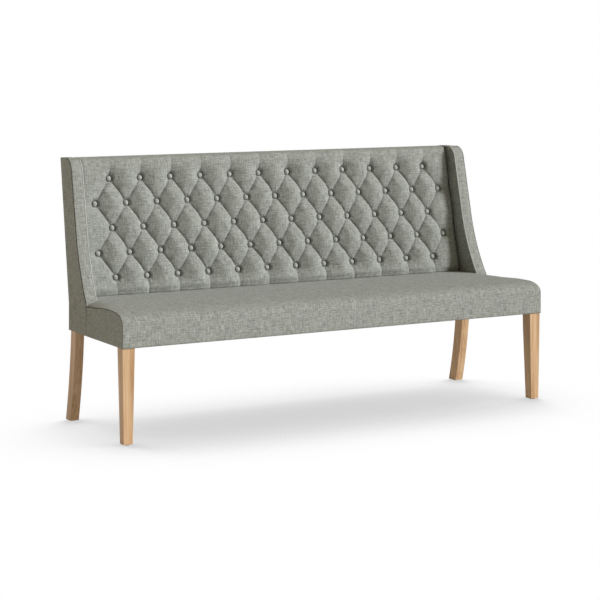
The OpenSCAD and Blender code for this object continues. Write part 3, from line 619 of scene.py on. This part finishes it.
def puff_slack(x, s):
    """Small unevenness: each puff is filled differently, and the cloth gathers at the buttons.

    The numbers in the waves are radians per metre, chosen so that no two puffs match.
    """
    wide = np.sin(x * 23.1 + 4 * np.sin(s * 17.0))
    tall = np.sin(s * 31.7 + 3 * np.sin(x * 13.0) + 1.3)
    gather = np.zeros_like(x + s)
    for (bx, bs), near, dx, ds in near_buttons(x, s):
        turn = 5.0 * sin(bx * 71.0 + bs * 37.0)
        ring = np.exp(-(((np.hypot(dx, ds) - GATHER_R) / GATHER_W) ** 2))
        gather[near] += np.cos(GATHER_FOLDS * np.arctan2(ds, dx) + turn) * ring
    return (wide + tall + gather) * SLACK


def well_share(x, s):
    """The share of the height that is left round each button, where the cloth is pulled in."""
    left = np.ones_like(x + s)
    for _, near, dx, ds in near_buttons(x, s):
        left[near] *= 1 - WELL_SHARE * np.exp(-((np.hypot(dx, ds) / WELL_R) ** 6))
    return left


def painted_shade_share(x, s):
    """Painted shade: how much darker the cloth is made in a fold, round a button and along the
    wing, where less light gets in.
    """
    u, v, out = fold_waves(x, s)
    beside_field = np.maximum(np.abs(x) - field_x(s), 0)
    tuck = FOLD_SHADE * np.exp(-((np.minimum(u, v) / FOLD_SHADE_SHARE) ** 2))
    tuck *= (1 - (1 - PLEAT_SHADE_SHARE) * out) * np.exp(-((beside_field / FIELD_EDGE_FADE) ** 2))
    for _, near, dx, ds in near_buttons(x, s):
        level = dx * dx / (dx * dx + ds * ds + TINY)
        off_edge = np.hypot(dx / WELL_SHADE_WIDER, ds) - WELL_SHADE_R
        well = WELL_SHADE * (WELL_TOP_SHARE + (1 - WELL_TOP_SHARE) * level)
        tuck[near] = np.maximum(tuck[near], well * (1 - ramp(off_edge / WELL_SHADE_FADE)))
    return np.maximum(tuck, WALL_SHADE * (1 - ramp(to_wing(x) / WALL_SHADE_W)))


MARGIN_SHARES = np.concatenate([np.linspace(0, 0.88, 15)[1:], [0.91, 0.94, 0.96, 0.98, 1]])
LOW_ROWS = 17
HIGH_ROWS = 24
TOP_EASE = 0.004
TOP_S = (OVERALL_H - SEAT_Z - TOP_EASE) / cos(TUFT_RAKE)
TOP_ROUND_S = 0.03
TOP_ROUND_POWER = 2.2
TOP_LEFT_SHARE = 0.12
FOOT_REACH = 0.02
FOOT_PINCH_SHARE = 0.3
CROWN_DIP = 0.0012
PLEAT_DIP = 0.0025
PLEAT_ROW = 8
FULL_PUFF_SHARE = 0.6


def tuft_columns():
    """x of each column of points at the top row's spacing, and its share of the way to the wing."""
    half_count = (LONG_ROW - 1) * CELLS_PER_TILE
    tile = TUFT_DX / 2 / CELLS_PER_TILE
    field = np.arange(-half_count, half_count + 1) * tile
    outer = FIELD_HALF + MARGIN_SHARES * SIDE_MARGIN
    share = np.concatenate([MARGIN_SHARES[::-1], np.zeros(len(field)), MARGIN_SHARES])
    return np.concatenate([-outer[::-1], field, outer]), share


def tuft_rows():
    """s of every row of points on the face, from the seat to the crown."""
    low = np.linspace(0, FIRST_ROW_S, LOW_ROWS)[:-1]
    step = ROW_PITCH / CELLS_PER_TILE
    rows = FIRST_ROW_S + np.arange((ROWS - 1) * CELLS_PER_TILE + 1) * step
    high = np.linspace(LAST_ROW_S, TOP_S, HIGH_ROWS)[1:]
    return np.concatenate([low, rows, high])


def tuft_height(x, s):
    """Height of the face with its wells and slack, pinched at the seat and rounded at the top."""
    foot = 1 - FOOT_PINCH_SHARE * (1 - ramp(s / FOOT_REACH))
    over = np.clip((s - (TOP_S - TOP_ROUND_S)) / TOP_ROUND_S, 0, 1)
    left = np.sqrt(np.clip(1 - over**TOP_ROUND_POWER, 0, 1))
    height = puff_height(x, s) * well_share(x, s) + puff_slack(x, s)
    return np.maximum(height * foot * (TOP_LEFT_SHARE + (1 - TOP_LEFT_SHARE) * left), SOFT_GAP)


def behind_crown(x, crown, puff):
    """A column's points from its crown back over the top rail, and down the back of the pad."""
    pleat = 1 - min(1.0, puff / (FULL_PUFF_SHARE * PUFF_H))
    top = OVERALL_H - PLEAT_DIP * pleat
    round_r = TOP_PAD_T / 2
    turn_y = float(rear_y(OVERALL_H)) - round_r
    points = [[x, crown[1] + (turn_y - crown[1]) * t, crown[2] + (top - crown[2]) * min(1, 2 * t)]
              for t in np.linspace(0, 1, 5)[1:]]
    points += [[x, turn_y + round_r * sin(a), top - round_r * (1 - cos(a))]
               for a in np.radians(np.linspace(0, 90, 6))[1:]]
    points.append([x, float(rear_y(TOP_RAIL_Z)), TOP_RAIL_Z + SOFT_GAP])
    points.append([x, pad_plane(TOP_RAIL_Z), TOP_RAIL_Z + SOFT_GAP])
    points.append([x, pad_plane(SEAT_Z + SOFT_GAP), SEAT_Z + SOFT_GAP])
    return np.array(points, float)


def tufted_back():
    """The tufted cover and its filling, as one closed form with a column of points for each x."""
    columns, to_wing_shares = tuft_columns()
    s = tuft_rows()
    X, S = np.meshgrid(columns, s, indexing="ij")
    height = tuft_height(X, S)
    on_seat = -height * tan(TUFT_RAKE)
    face_s = np.maximum(S, on_seat)
    face_s[:, 0] = on_seat[:, 0] + SOFT_GAP
    front = on_pad(X * spread(face_s), face_s, height)
    dip = CROWN_DIP * (1 - height / (PUFF_H + PUFF_BASE))
    front[..., 2] = np.minimum(front[..., 2], OVERALL_H - dip)
    rings, uvs = [], []
    for x, share, face, puff in zip(columns, to_wing_shares, front, height[:, -PLEAT_ROW]):
        ring = np.vstack([face, behind_crown(x, face[-1], puff)])
        wall = np.sign(x) * side_x(WING_T + SOFT_GAP, ring[:, 1], ring[:, 2])
        wider = spread((ring[:, 2] - SEAT_Z) / cos(TUFT_RAKE))
        base = np.sign(x) * FIELD_HALF * wider
        ring[:, 0] = np.where(share > 0, base + (wall - base) * share, x * wider)
        rings.append(ring)
        run = run_along(ring[:, 1:])
        flat_s = np.concatenate([s, s[-1] + run[len(s) :] - run[len(s) - 1]])
        uvs.append(np.stack([ring[:, 0], flat_s], -1))
    behind = ((0, 0), (0, len(rings[0]) - len(s)))
    piece = grid_mesh("tufted_back", np.array(rings), np.array(uvs), FABRIC, closed=True,
                      height=np.pad(height, behind))
    # Painted shade in the folds, round the buttons and beside the wings.
    set_painted_shade(piece, np.pad(painted_shade_share(X, S), behind))
    soft_piece(piece, ["back_cushion"])


# Each ring of a button, its shares of the radius and height, from near the top to under the rim
BUTTON_SHARES = (
    (0.25, 0.9732), (0.5, 0.8929), (0.7, 0.7679), (0.86, 0.6071),
    (0.96, 0.4286), (1.0, 0.2679), (0.97, 0.1071), (0.88, 0.0179),
)
BUTTON_SIDES = 28


def buttons():
    """Covered buttons: a shallow dome whose cloth turns under at the rim."""
    angle = np.linspace(0, 2 * np.pi, BUTTON_SIDES + 1)[:-1]
    last_ring = (len(BUTTON_SHARES) - 1) * BUTTON_SIDES
    verts, faces, uv_points, tuck = [], [], [], []
    for nominal_x, bs in button_places():
        bx = nominal_x * spread(bs)
        base = len(verts)
        for wide, high in BUTTON_SHARES:
            x = bx + wide * BUTTON_D / 2 * np.cos(angle)
            s = bs + wide * BUTTON_D / 2 * np.sin(angle)
            verts += on_pad(x, s, high * BUTTON_H).tolist()
            uv_points += np.stack([x, s], -1).tolist()
            # Painted shade: the rim's cloth is darker towards the edge, where it turns under.
            tuck += [RIM_SHADE * float(ramp((wide - RIM_SHARE) / (1 - RIM_SHARE)))] * BUTTON_SIDES
        top = len(verts)
        verts.append(on_pad(bx, bs, BUTTON_H).tolist())
        uv_points.append([bx, bs])
        tuck.append(0.0)
        for k in range(BUTTON_SIDES):
            k1 = (k + 1) % BUTTON_SIDES
            faces.append([top, base + k, base + k1])
            for ring in range(base, base + last_ring, BUTTON_SIDES):
                below = ring + BUTTON_SIDES
                faces.append([ring + k, below + k, below + k1, ring + k1])
        faces.append([base + last_ring + k for k in reversed(range(BUTTON_SIDES))])
    mesh = bpy.data.meshes.new("covered_buttons")
    mesh.from_pydata(placed(np.array(verts)).tolist(), [], faces)
    layer = mesh.uv_layers.new(name="weave")
    index = np.zeros(len(mesh.loops), int)
    mesh.loops.foreach_get("vertex_index", index)
    layer.data.foreach_set("uv", np.array(uv_points)[index].astype(np.float32).ravel())
    piece = new_piece("covered_buttons", mesh, BUTTON_CLOTH_PAINTED_LIGHT)
    set_painted_shade(piece, np.array(tuck))
    soft_piece(piece, ["tuft_buttons"])


# The seat
FACE_ROWS = 14
ROLL_ROWS = 19
TOP_ROWS = 48
END_SHARE = 0.93
END_COLUMNS = 22
MIDDLE_COLUMNS = 130
SEAT_EDGE_POWER = 12
WING_NOTCH = 0.002
LEAST_RISE = 0.0001


def seat_surface(u, y):
    """Height of the seat's top at a share u of the half width."""
    inward = (1 - np.abs(u)) * OVERALL_W / 2
    draw = EDGE_DROP * ramp((y - ROLL_D) / (SEAM_Y - ROLL_D))
    near = np.maximum(0, 1 - inward / EDGE_ROLL_W)
    crown = SEAT_CROWN * (1 - u**6) * np.sin(np.pi * np.clip(y / CROWN_D, 0, 1)) ** 2
    return SEAT_Z - FRONT_FALL * (1 - ramp((y - ROLL_D) / ROLL_D)) - draw * near * near + crown


def seat_cushion():
    """Seat foam and its cover: the front face down to the base, the rounded edge and the top."""
    a = np.radians(np.linspace(0, 90, ROLL_ROWS)[1:])
    face_z = np.linspace(BASE_Z, ROLL_Z, FACE_ROWS)
    rear = float(pad_plane(FOAM_Z0, SEAT_UNDER_BACK)) - SOFT_GAP
    top_y = np.linspace(ROLL_D, rear, TOP_ROWS)[1:]
    face_swell = FACE_SWELL * np.sin(np.pi * (face_z - BASE_Z) / (ROLL_Z - BASE_Z))
    normal_y = np.concatenate([np.ones(len(face_z)), np.cos(a), np.zeros(len(top_y))])
    normal_z = np.concatenate([np.zeros(len(face_z)), np.sin(a), np.ones(len(top_y))])
    middle = np.linspace(-END_SHARE, END_SHARE, MIDDLE_COLUMNS)[1:-1]
    end = np.linspace(END_SHARE, 1, END_COLUMNS)
    rings, uvs = [], []
    for share in np.concatenate([-end[::-1], middle, end]):
        face_y = FACE_INSET - face_swell * (1 - abs(share) ** SEAT_EDGE_POWER)
        y = np.concatenate([face_y, ROLL_D - ROLL_D * np.cos(a), top_y])
        z = np.concatenate([face_z, ROLL_Z + ROLL_H * np.sin(a), seat_surface(share, top_y)])
        turn = edge_turn((1 - abs(share)) * OVERALL_W / 2)
        y, z = y + normal_y * turn, z - normal_z * turn
        y = np.concatenate([y, [y[-1], COVER_T, COVER_T]])
        z = np.concatenate([z, [FOAM_Z0, FOAM_Z0, BASE_Z]])
        x = share * side_x(PANEL_D, y, z)
        in_wing = (y > SEAM_Y) & (z > FOAM_Z0 - WING_NOTCH)
        wing = side_x(WING_T, y, z)
        x = np.where(in_wing, np.clip(x, -wing, wing), x)
        ring = np.stack([x, y, z], -1)
        rings.append(ring)
        uvs.append(np.stack([x, run_along(ring[:, 1:])], -1))
    piece = grid_mesh("seat_cushion", np.array(rings), np.array(uvs), FABRIC, closed=True)
    soft_piece(piece, ["seat_cover", "seat_foam"])


def folds(y, z, gap):
    """Height of the two ridges in the cloth of a seat end, near its seam to the wing."""
    ridges = sum(
        share * np.exp(-(((y - place) / width) ** 2)) for place, width, share in FOLD_PLACES
    )
    return FOLD_H * ridges * ramp((z - FOLD_FOOT_Z) / FOLD_FOOT_FADE) * ramp(gap / FOLD_EDGE_FADE)


def seat_side_panel(name, side, nodes):
    y = across_between(0.0, SEAM_Y, 90)
    a = np.clip(y / ROLL_D, 0, 1)
    roll_top = ROLL_Z + ROLL_H * np.sqrt(np.clip(1 - (1 - a) ** 2, 0, 1))
    top = np.where(y < ROLL_D, roll_top, seat_surface(np.ones(len(y)), y)) - SOFT_GAP
    columns, uvs = [], []
    for q, high in zip(y, top):
        z = across_between(BASE_Z, max(high, ROLL_Z + LEAST_RISE), 16)
        gap = np.minimum.reduce([np.full(len(z), min(q, SEAM_Y - q)), z - BASE_Z, high - z])
        wander = END_WANDER * np.sin(q * 33 + z * 51)
        d = np.maximum(edge_turn(np.maximum(gap, 0)) + wander, 0) - folds(q, z, gap)
        columns.append(np.stack([side_x(d, q, z), np.full(len(z), q), z], -1))
        uvs.append(np.stack([np.full(len(z), q), z], -1))
    points = mirrored(side, np.array(columns))
    piece = grid_mesh(name, points, np.array(uvs), FABRIC, flip=side < 0)
    thickened(piece)
    stretched(soft_piece(piece, nodes), points)


# The wings
WING_BEND_Y = float(rear_y(WING_BEND_Z)) - WING_D
SWEEP_Y = WING_BEND_Y - WING_SWEEP_R * cos(WING_RAKE)
SWEEP_Z = WING_BEND_Z + WING_SWEEP_R * sin(WING_RAKE)
CORNER_Z = OVERALL_H - WING_CORNER_R
CORNER_Y = WING_BEND_Y + (CORNER_Z - WING_BEND_Z) * tan(WING_RAKE) + WING_CORNER_R / cos(WING_RAKE)
SWEEP_POINTS = 30
STRAIGHT_POINTS = 10
CORNER_POINTS = 16
TOP_POINTS = 7


def wing_outline():
    """The wing's edge, from the foot of its sweep up the front and round the corner to the rear."""
    foot = SWEEP_Z - sqrt(WING_SWEEP_R**2 - (SEAM_Y - SWEEP_Y) ** 2)
    bend = SWEEP_Z - WING_SWEEP_R * sin(WING_RAKE)
    z = np.linspace(foot, bend, SWEEP_POINTS)
    sweep = np.stack([SWEEP_Y + np.sqrt(WING_SWEEP_R**2 - (z - SWEEP_Z) ** 2), z], -1)
    a = np.linspace(WING_RAKE, np.pi / 2, CORNER_POINTS)
    corner_y = CORNER_Y - WING_CORNER_R * np.cos(a)
    corner_z = CORNER_Z + WING_CORNER_R * np.sin(a)
    corner = np.stack([corner_y, corner_z], -1)
    t = np.linspace(0, 1, STRAIGHT_POINTS + 2)[1:-1, None]
    straight = sweep[-1] + (corner[0] - sweep[-1]) * t
    rear = [float(rear_y(OVERALL_H)) - BAND_REAR_EASE, OVERALL_H]
    top = corner[-1] + (rear - corner[-1]) * np.linspace(0, 1, TOP_POINTS + 1)[1:, None]
    return np.concatenate([sweep, straight, corner, top])


WING_EDGE = wing_outline()
WING_FRONT = WING_EDGE[:-TOP_POINTS]


def wing_panel(name, side, z0, depth, outward, nodes):
    """A cloth face of a wing at a depth: outer panel (outward) or the padded inner face."""
    columns = 26 if outward else 60
    edge_r = SEAM_R if outward else PAD_EDGE_R
    rows, uvs, tuck = [], [], []
    for q in across_between(z0, OVERALL_H, 60):
        front = float(np.interp(q, WING_FRONT[:, 1], WING_FRONT[:, 0], left=SEAM_Y))
        rear = float(rear_y(q))
        y = across_between(front, rear, columns)
        z = np.full(len(y), q)
        gap = np.minimum.reduce([y - front, rear - y, np.full(len(y), min(q - z0, OVERALL_H - q))])
        path_gap = np.min(np.hypot(y[:, None] - WING_EDGE[:, 0], q - WING_EDGE[:, 1]), axis=1)
        pull = PAD_WANDER * np.sin(q * 41.0 + y * 17.0) * ramp(gap / PAD_WANDER_FADE)
        sunk = edge_turn(np.minimum(gap, path_gap), edge_r) + pull
        rows.append(np.stack([side_x(depth + sunk if outward else depth - sunk, y, z), y, z], -1))
        uvs.append(np.stack([y, z], -1))
        # Painted shade: the inner face is darker where it meets the tufted back.
        tuck.append(WALL_SHADE * (1 - ramp((pad_plane(q) - y) / WALL_SHADE_W)) * (not outward))
    points = mirrored(side, np.array(rows))
    piece = grid_mesh(name, points, np.array(uvs), FABRIC, flip=(side > 0) == outward)
    set_painted_shade(piece, np.array(tuck))
    thickened(piece)
    soft_piece(piece, nodes)
    if outward:
        stretched(piece, points)


def wing_border(name, side, nodes):
    """The narrow band of cloth along a wing's edge, with its seams turned in."""
    tangent = np.gradient(WING_EDGE, axis=0)
    tangent /= np.linalg.norm(tangent, axis=1)[:, None]
    inward = np.stack([tangent[:, 1], -tangent[:, 0]], -1)
    depths = across_between(BAND_INSET, WING_T - BAND_INSET, 12)
    turn = edge_turn(np.minimum(depths, WING_T - depths), BAND_EDGE_R)
    move = turn - BAND_CROWN * np.sin(np.pi * depths / WING_T)
    run = run_along(WING_EDGE)
    rows, uvs = [], []
    for point, push, length in zip(WING_EDGE, inward, run):
        y, z = point[0] + push[0] * move, point[1] + push[1] * move
        rows.append(np.stack([side_x(depths, y, z), y, z], -1))
        uvs.append(np.stack([depths, np.full(len(depths), length)], -1))
    foot = rows[0].copy()
    foot[:, 2] = SEAT_Z - PANEL_FOOT_D
    points = mirrored(side, np.array([foot] + rows))
    uv_rows = np.array([uvs[0] - [0, PANEL_FOOT_D]] + uvs)
    piece = grid_mesh(name, points, uv_rows, FABRIC, flip=side < 0)
    thickened(piece)
    stretched(soft_piece(piece, nodes), points, (WING_T, float(run[-1]) + PANEL_FOOT_D))


def seam_cord(name, path, radius, material):
    """A thin round cord along a path of points, laid on a seam, in the material it is given: a pale
    one for a painted highlight, a dark one for painted shade.
    """
    curve = bpy.data.curves.new(name, "CURVE")
    curve.dimensions = "3D"
    curve.bevel_depth = radius
    curve.bevel_resolution = 2
    spline = curve.splines.new("POLY")
    spline.points.add(len(path) - 1)
    spline.points.foreach_set("co", np.c_[placed(path), np.ones(len(path))].ravel())
    made = bpy.data.objects.new(name, curve)
    bpy.context.scene.collection.objects.link(made)
    made.data.materials.append(material)
    finished = made.evaluated_get(bpy.context.evaluated_depsgraph_get())
    mesh = bpy.data.meshes.new_from_object(finished)
    bpy.data.objects.remove(made)
    piece = bpy.data.objects.new(name, mesh)
    bpy.context.scene.collection.objects.link(piece)
    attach(piece, "root")


def side_path(side, depth, y, z):
    """Points at a depth in from an outer side face."""
    return np.stack(np.broadcast_arrays(side * side_x(depth, y, z), y, z), -1)


def seams(end, side):
    """Cords on both edges of a wing's band, round the seat's end and up its joint to the wing: a
    pale one with a painted highlight on the band's inner edge, dark ones of painted shade in the
    other seams.
    """
    y, z = WING_FRONT.T
    inner = side_path(side, INNER_CORD_D, y, z)
    inner += [0, INNER_CORD_BACK, CORD_SHIFT_Z]
    # The inner cord is a real seam ridge; its pale colour is a painted highlight.
    seam_cord(f"wing_seam_inner_{end}", inner, INNER_CORD_R, SEAM_PAINTED_HIGHLIGHT)
    outer = side_path(side, OUTER_CORD_D, y + OUTER_CORD_BACK, z)
    outer -= [0, 0, CORD_SHIFT_Z]
    seam_cord(f"wing_seam_outer_{end}", outer, OUTER_CORD_R, SEAM_SHADE)
    a = np.radians(np.linspace(0, 90, 13))
    top_y = np.linspace(ROLL_D, SEAM_Y, 12)[1:]
    top_z = seat_surface(np.ones(len(top_y)), top_y)
    y = np.concatenate([[0.0], ROLL_D - ROLL_D * np.cos(a), top_y])
    z = np.concatenate([[BASE_Z], ROLL_Z + ROLL_H * np.sin(a), top_z])
    y += SEAT_CORD_D * np.concatenate([[1.0], np.cos(a), np.zeros(len(top_y))])
    z -= SEAT_CORD_D * np.concatenate([[0.0], np.sin(a), np.ones(len(top_y))])
    edge = side_path(side, SEAT_CORD_D, y, z)
    seam_cord(f"seat_seam_{end}", edge, SEAT_CORD_R, SEAM_SHADE)
    joint = side_path(side, JOINT_CORD_D, SEAM_Y, np.linspace(BASE_Z, z[-1], 8))
    seam_cord(f"side_seam_{end}", joint, OUTER_CORD_R, SEAM_SHADE)


# The back and the underside
BACK_END_SHARE = 0.97
BACK_STEP_SHARE = 0.0006


def outer_back():
    """The cloth over the back of the frame: upright, then raked, and higher behind the wings."""
    wing_share = 1 - (WING_T + SOFT_GAP) / side_x(0, rear_y(OVERALL_H), OVERALL_H)
    near_end = np.linspace(BACK_END_SHARE, 1, 16)
    in_wing = np.concatenate([np.linspace(wing_share, BACK_END_SHARE, 8)[:-1], near_end])
    half = np.concatenate([[wing_share - BACK_STEP_SHARE], in_wing])
    u = np.concatenate([-half[::-1], np.linspace(-half[0], half[0], 60)[1:-1], half])
    top = np.where(np.abs(u) >= in_wing[0], OVERALL_H - BACK_TOP_EASE, TOP_RAIL_Z)
    rows, uvs = [], []
    for level in across_between(BASE_Z, TOP_RAIL_Z, 70):
        z = BASE_Z + (level - BASE_Z) * (top - BASE_Z) / (TOP_RAIL_Z - BASE_Z)
        x = u * side_x(BACK_SIDE_D, rear_y(z), z)
        gap = np.minimum((1 - np.abs(u)) * OVERALL_W / 2, np.minimum(z - BASE_Z, top - z))
        wander = BACK_WANDER * np.sin(x * 7 + z * 9)
        rows.append(np.stack([x, rear_y(z) - edge_turn(gap) - BACK_PANEL_D + wander, z], -1))
        uvs.append(np.stack([x, z], -1))
    points = np.array(rows)
    piece = grid_mesh("outer_back", points, np.array(uvs), FABRIC)
    thickened(piece)
    stretched(soft_piece(piece, ["outer_back_panel"]), points)


def dust_cloth():
    """The thin black cloth under the seat: stapled round its edge, cut out for the legs, slack."""
    front_end = COVER_T + FRONT_LEG
    rear_start = BACK_Y - REAR_LEG_INSET - REAR_LEG_D - LEG_GAP
    rear_end = BACK_Y - REAR_LEG_INSET + LEG_GAP
    end_y = BACK_Y - COVER_T
    front = np.linspace(COVER_T, front_end, 5)
    y = np.concatenate([front, np.linspace(front_end, rear_start, 40)[1:], [rear_end, end_y]])
    depth = np.array([COVER_T, COVER_T + REAR_LEG_W, front_end])
    left = -side_x(depth[:, None], y, BASE_Z)
    middle = left[-1] * np.linspace(1, -1, 90)[1:-1, None]
    x = np.concatenate([left, middle, -left[::-1]])
    sag_start = COVER_T + DUST_SAG_INSET
    slack = np.sin(np.pi * np.clip((y - sag_start) / (end_y - sag_start - DUST_SAG_INSET), 0, 1))
    z = BASE_Z - DUST_SAG * slack * (1 - (x / x.max()) ** 8)
    points = np.stack([x, np.broadcast_to(y, x.shape), z], -1)
    rows, cols = x.shape
    rear_cell = cols - 3
    faces = []
    for i in range(rows - 1):
        from_side = min(i, rows - 2 - i)
        for k in range(cols - 1):
            at_front_leg = from_side < 2 and k < len(front) - 1
            at_rear_leg = from_side < 1 and k == rear_cell
            if not (at_front_leg or at_rear_leg):
                here, below = i * cols + k, (i + 1) * cols + k
                faces.append([here, here + 1, below + 1, below])
    mesh = bpy.data.meshes.new("dust_cloth")
    mesh.from_pydata(placed(points).reshape(-1, 3).tolist(), [], faces)
    piece = new_piece("dust_cloth", mesh, BLACK_CLOTH)
    thickened(piece, DUST_CLOTH_T)
    stretched(soft_piece(piece, ["dust_cover"]), points)


def bevelled(node, width):
    modifier = frame["nodes"][node].modifiers.new("rounded", "BEVEL")
    modifier.width = width
    modifier.segments = 3
    modifier.limit_method = "ANGLE"
    modifier.angle_limit = radians(40)


tufted_back()
buttons()
seat_cushion()
PAD_FOOT_Z = SEAT_Z - PANEL_FOOT_D
PAD_FACE_D = WING_T - SOFT_GAP
for end, side in (("left", -1), ("right", 1)):
    wing_panel(f"wing_outer_{end}", side, BASE_Z, PANEL_D, True, [f"outer_side_panel_{end}"])
    wing_panel(f"wing_inner_{end}", side, PAD_FOOT_Z, PAD_FACE_D, False, [f"wing_pad_{end}"])
    wing_border(f"wing_band_{end}", side, [f"wing_border_{end}"])
    seams(end, side)
    seat_side_panel(f"seat_side_{end}", side, [f"seat_side_panel_{end}"])
    for leg in ("front_leg", "rear_leg"):
        bevelled(f"{leg}_{end}", LEG_EDGE_R)
outer_back()
dust_cloth()


# Floor, light and camera
SHADE_TILT = (0.3, 0.6, 1.0)
SHADE_REACH = 0.8
SHADE_RANGE = (0.08, 0.49)
SHADE_DEPTH = 0.347
FLOOR_SIZE = 60


def seen_straight(tree):
    """One for a ray from the camera or off a glossy surface, nought for any other."""
    path = tree.nodes.new("ShaderNodeLightPath")
    return node_math(tree, "MAXIMUM", path.outputs["Is Camera Ray"], path.outputs["Is Glossy Ray"])


def backdrop():
    """A white floor that glows for the camera, with a painted shadow of soft grey where the bench
    shades it; light meets a pale one.

    The shade falls a little forward and to the left, because the direction that counts as open
    leans back and to the right.
    """
    bpy.ops.mesh.primitive_plane_add(size=FLOOR_SIZE, location=(0, 0, 0))
    floor = bpy.context.object
    floor.name = "floor"
    material, tree, shader = new_material("pale_floor", (0.8, 0.8, 0.8), 0.9)
    leaning = tree.nodes.new("ShaderNodeCombineXYZ")
    for socket, value in zip(leaning.inputs, Vector(SHADE_TILT).normalized()):
        socket.default_value = value
    sky = tree.nodes.new("ShaderNodeAmbientOcclusion")
    sky.samples = 16
    sky.inputs["Distance"].default_value = SHADE_REACH
    tree.links.new(leaning.outputs[0], sky.inputs["Normal"])
    covered = node_math(tree, "SUBTRACT", 1.0, sky.outputs["AO"])
    soft = tree.nodes.new("ShaderNodeMapRange")
    soft.interpolation_type = "SMOOTHSTEP"
    soft.inputs["From Min"].default_value, soft.inputs["From Max"].default_value = SHADE_RANGE
    soft.inputs["To Max"].default_value = SHADE_DEPTH
    tree.links.new(covered, soft.inputs["Value"])
    # Painted shadow: the floor's glow is dimmed where the bench closes off its sky.
    seen = tree.nodes.new("ShaderNodeEmission")
    white = node_math(tree, "SUBTRACT", 1.0, soft.outputs["Result"])
    tree.links.new(white, seen.inputs["Strength"])
    chosen = tree.nodes.new("ShaderNodeMixShader")
    tree.links.new(seen_straight(tree), chosen.inputs[0])
    tree.links.new(shader.outputs[0], chosen.inputs[1])
    tree.links.new(seen.outputs[0], chosen.inputs[2])
    tree.links.new(chosen.outputs[0], tree.nodes["Material Output"].inputs["Surface"])
    floor.data.materials.append(material)


def world_light(strength, colour):
    """White where it is seen or reflected, a warm even light elsewhere."""
    world = bpy.data.worlds.new("studio")
    bpy.context.scene.world = world
    world.use_nodes = True
    tree = world.node_tree
    seen = seen_straight(tree)
    level = node_math(tree, "ADD", node_math(tree, "MULTIPLY", seen, 1.0 - strength), strength)
    tree.links.new(level, tree.nodes["Background"].inputs["Strength"])
    tint = colour_ramp(tree, seen, [(0.0, colour), (1.0, (1, 1, 1))])
    tree.links.new(tint, tree.nodes["Background"].inputs["Color"])


def lamp(name, kind, power, location, facing):
    """A lamp at a place, turned to shine along a direction."""
    light = bpy.data.lights.new(name, kind)
    light.energy = power
    holder = bpy.data.objects.new(name, light)
    bpy.context.scene.collection.objects.link(holder)
    holder.location = location
    holder.rotation_euler = Vector(facing).to_track_quat("-Z", "Y").to_euler()
    return light


KEY_FROM = Vector((13.1, -11.0, 9.0))
KEY_STRENGTH = 3.38
KEY_ANGLE = radians(17)
FILL_FROM = Vector((-4.5, 2.2, 1.3))
FILL_AT = Vector((-0.9, 0, 0.5))
FILL_SIZE = 1.5
FILL_WATTS = 23
FILL_COLOUR = (1.0, 0.84, 0.66)
ROOM_STRENGTH = 0.15
ROOM_COLOUR = (1.0, 0.80, 0.46)

backdrop()
world_light(ROOM_STRENGTH, ROOM_COLOUR)
key = lamp("key", "SUN", KEY_STRENGTH, KEY_FROM, -KEY_FROM)
key.angle = KEY_ANGLE
fill = lamp("left_fill", "AREA", FILL_WATTS, FILL_FROM, FILL_AT - FILL_FROM)
fill.size = FILL_SIZE
fill.color = FILL_COLOUR
bpy.context.scene.view_settings.view_transform = "Standard"

CAMERA_PLACE = (-3.693, -6.310, 1.393)
CAMERA_TURN = Euler((radians(82.403), 0, radians(-30.235)))
SENSOR_MM = 36
LENS_MM = 116.24
lens = bpy.data.cameras.new("camera")
lens.sensor_width = SENSOR_MM
lens.lens = LENS_MM
camera = bpy.data.objects.new("camera", lens)
bpy.context.scene.collection.objects.link(camera)
camera.location = CAMERA_PLACE
camera.rotation_euler = CAMERA_TURN
bpy.context.scene.camera = camera
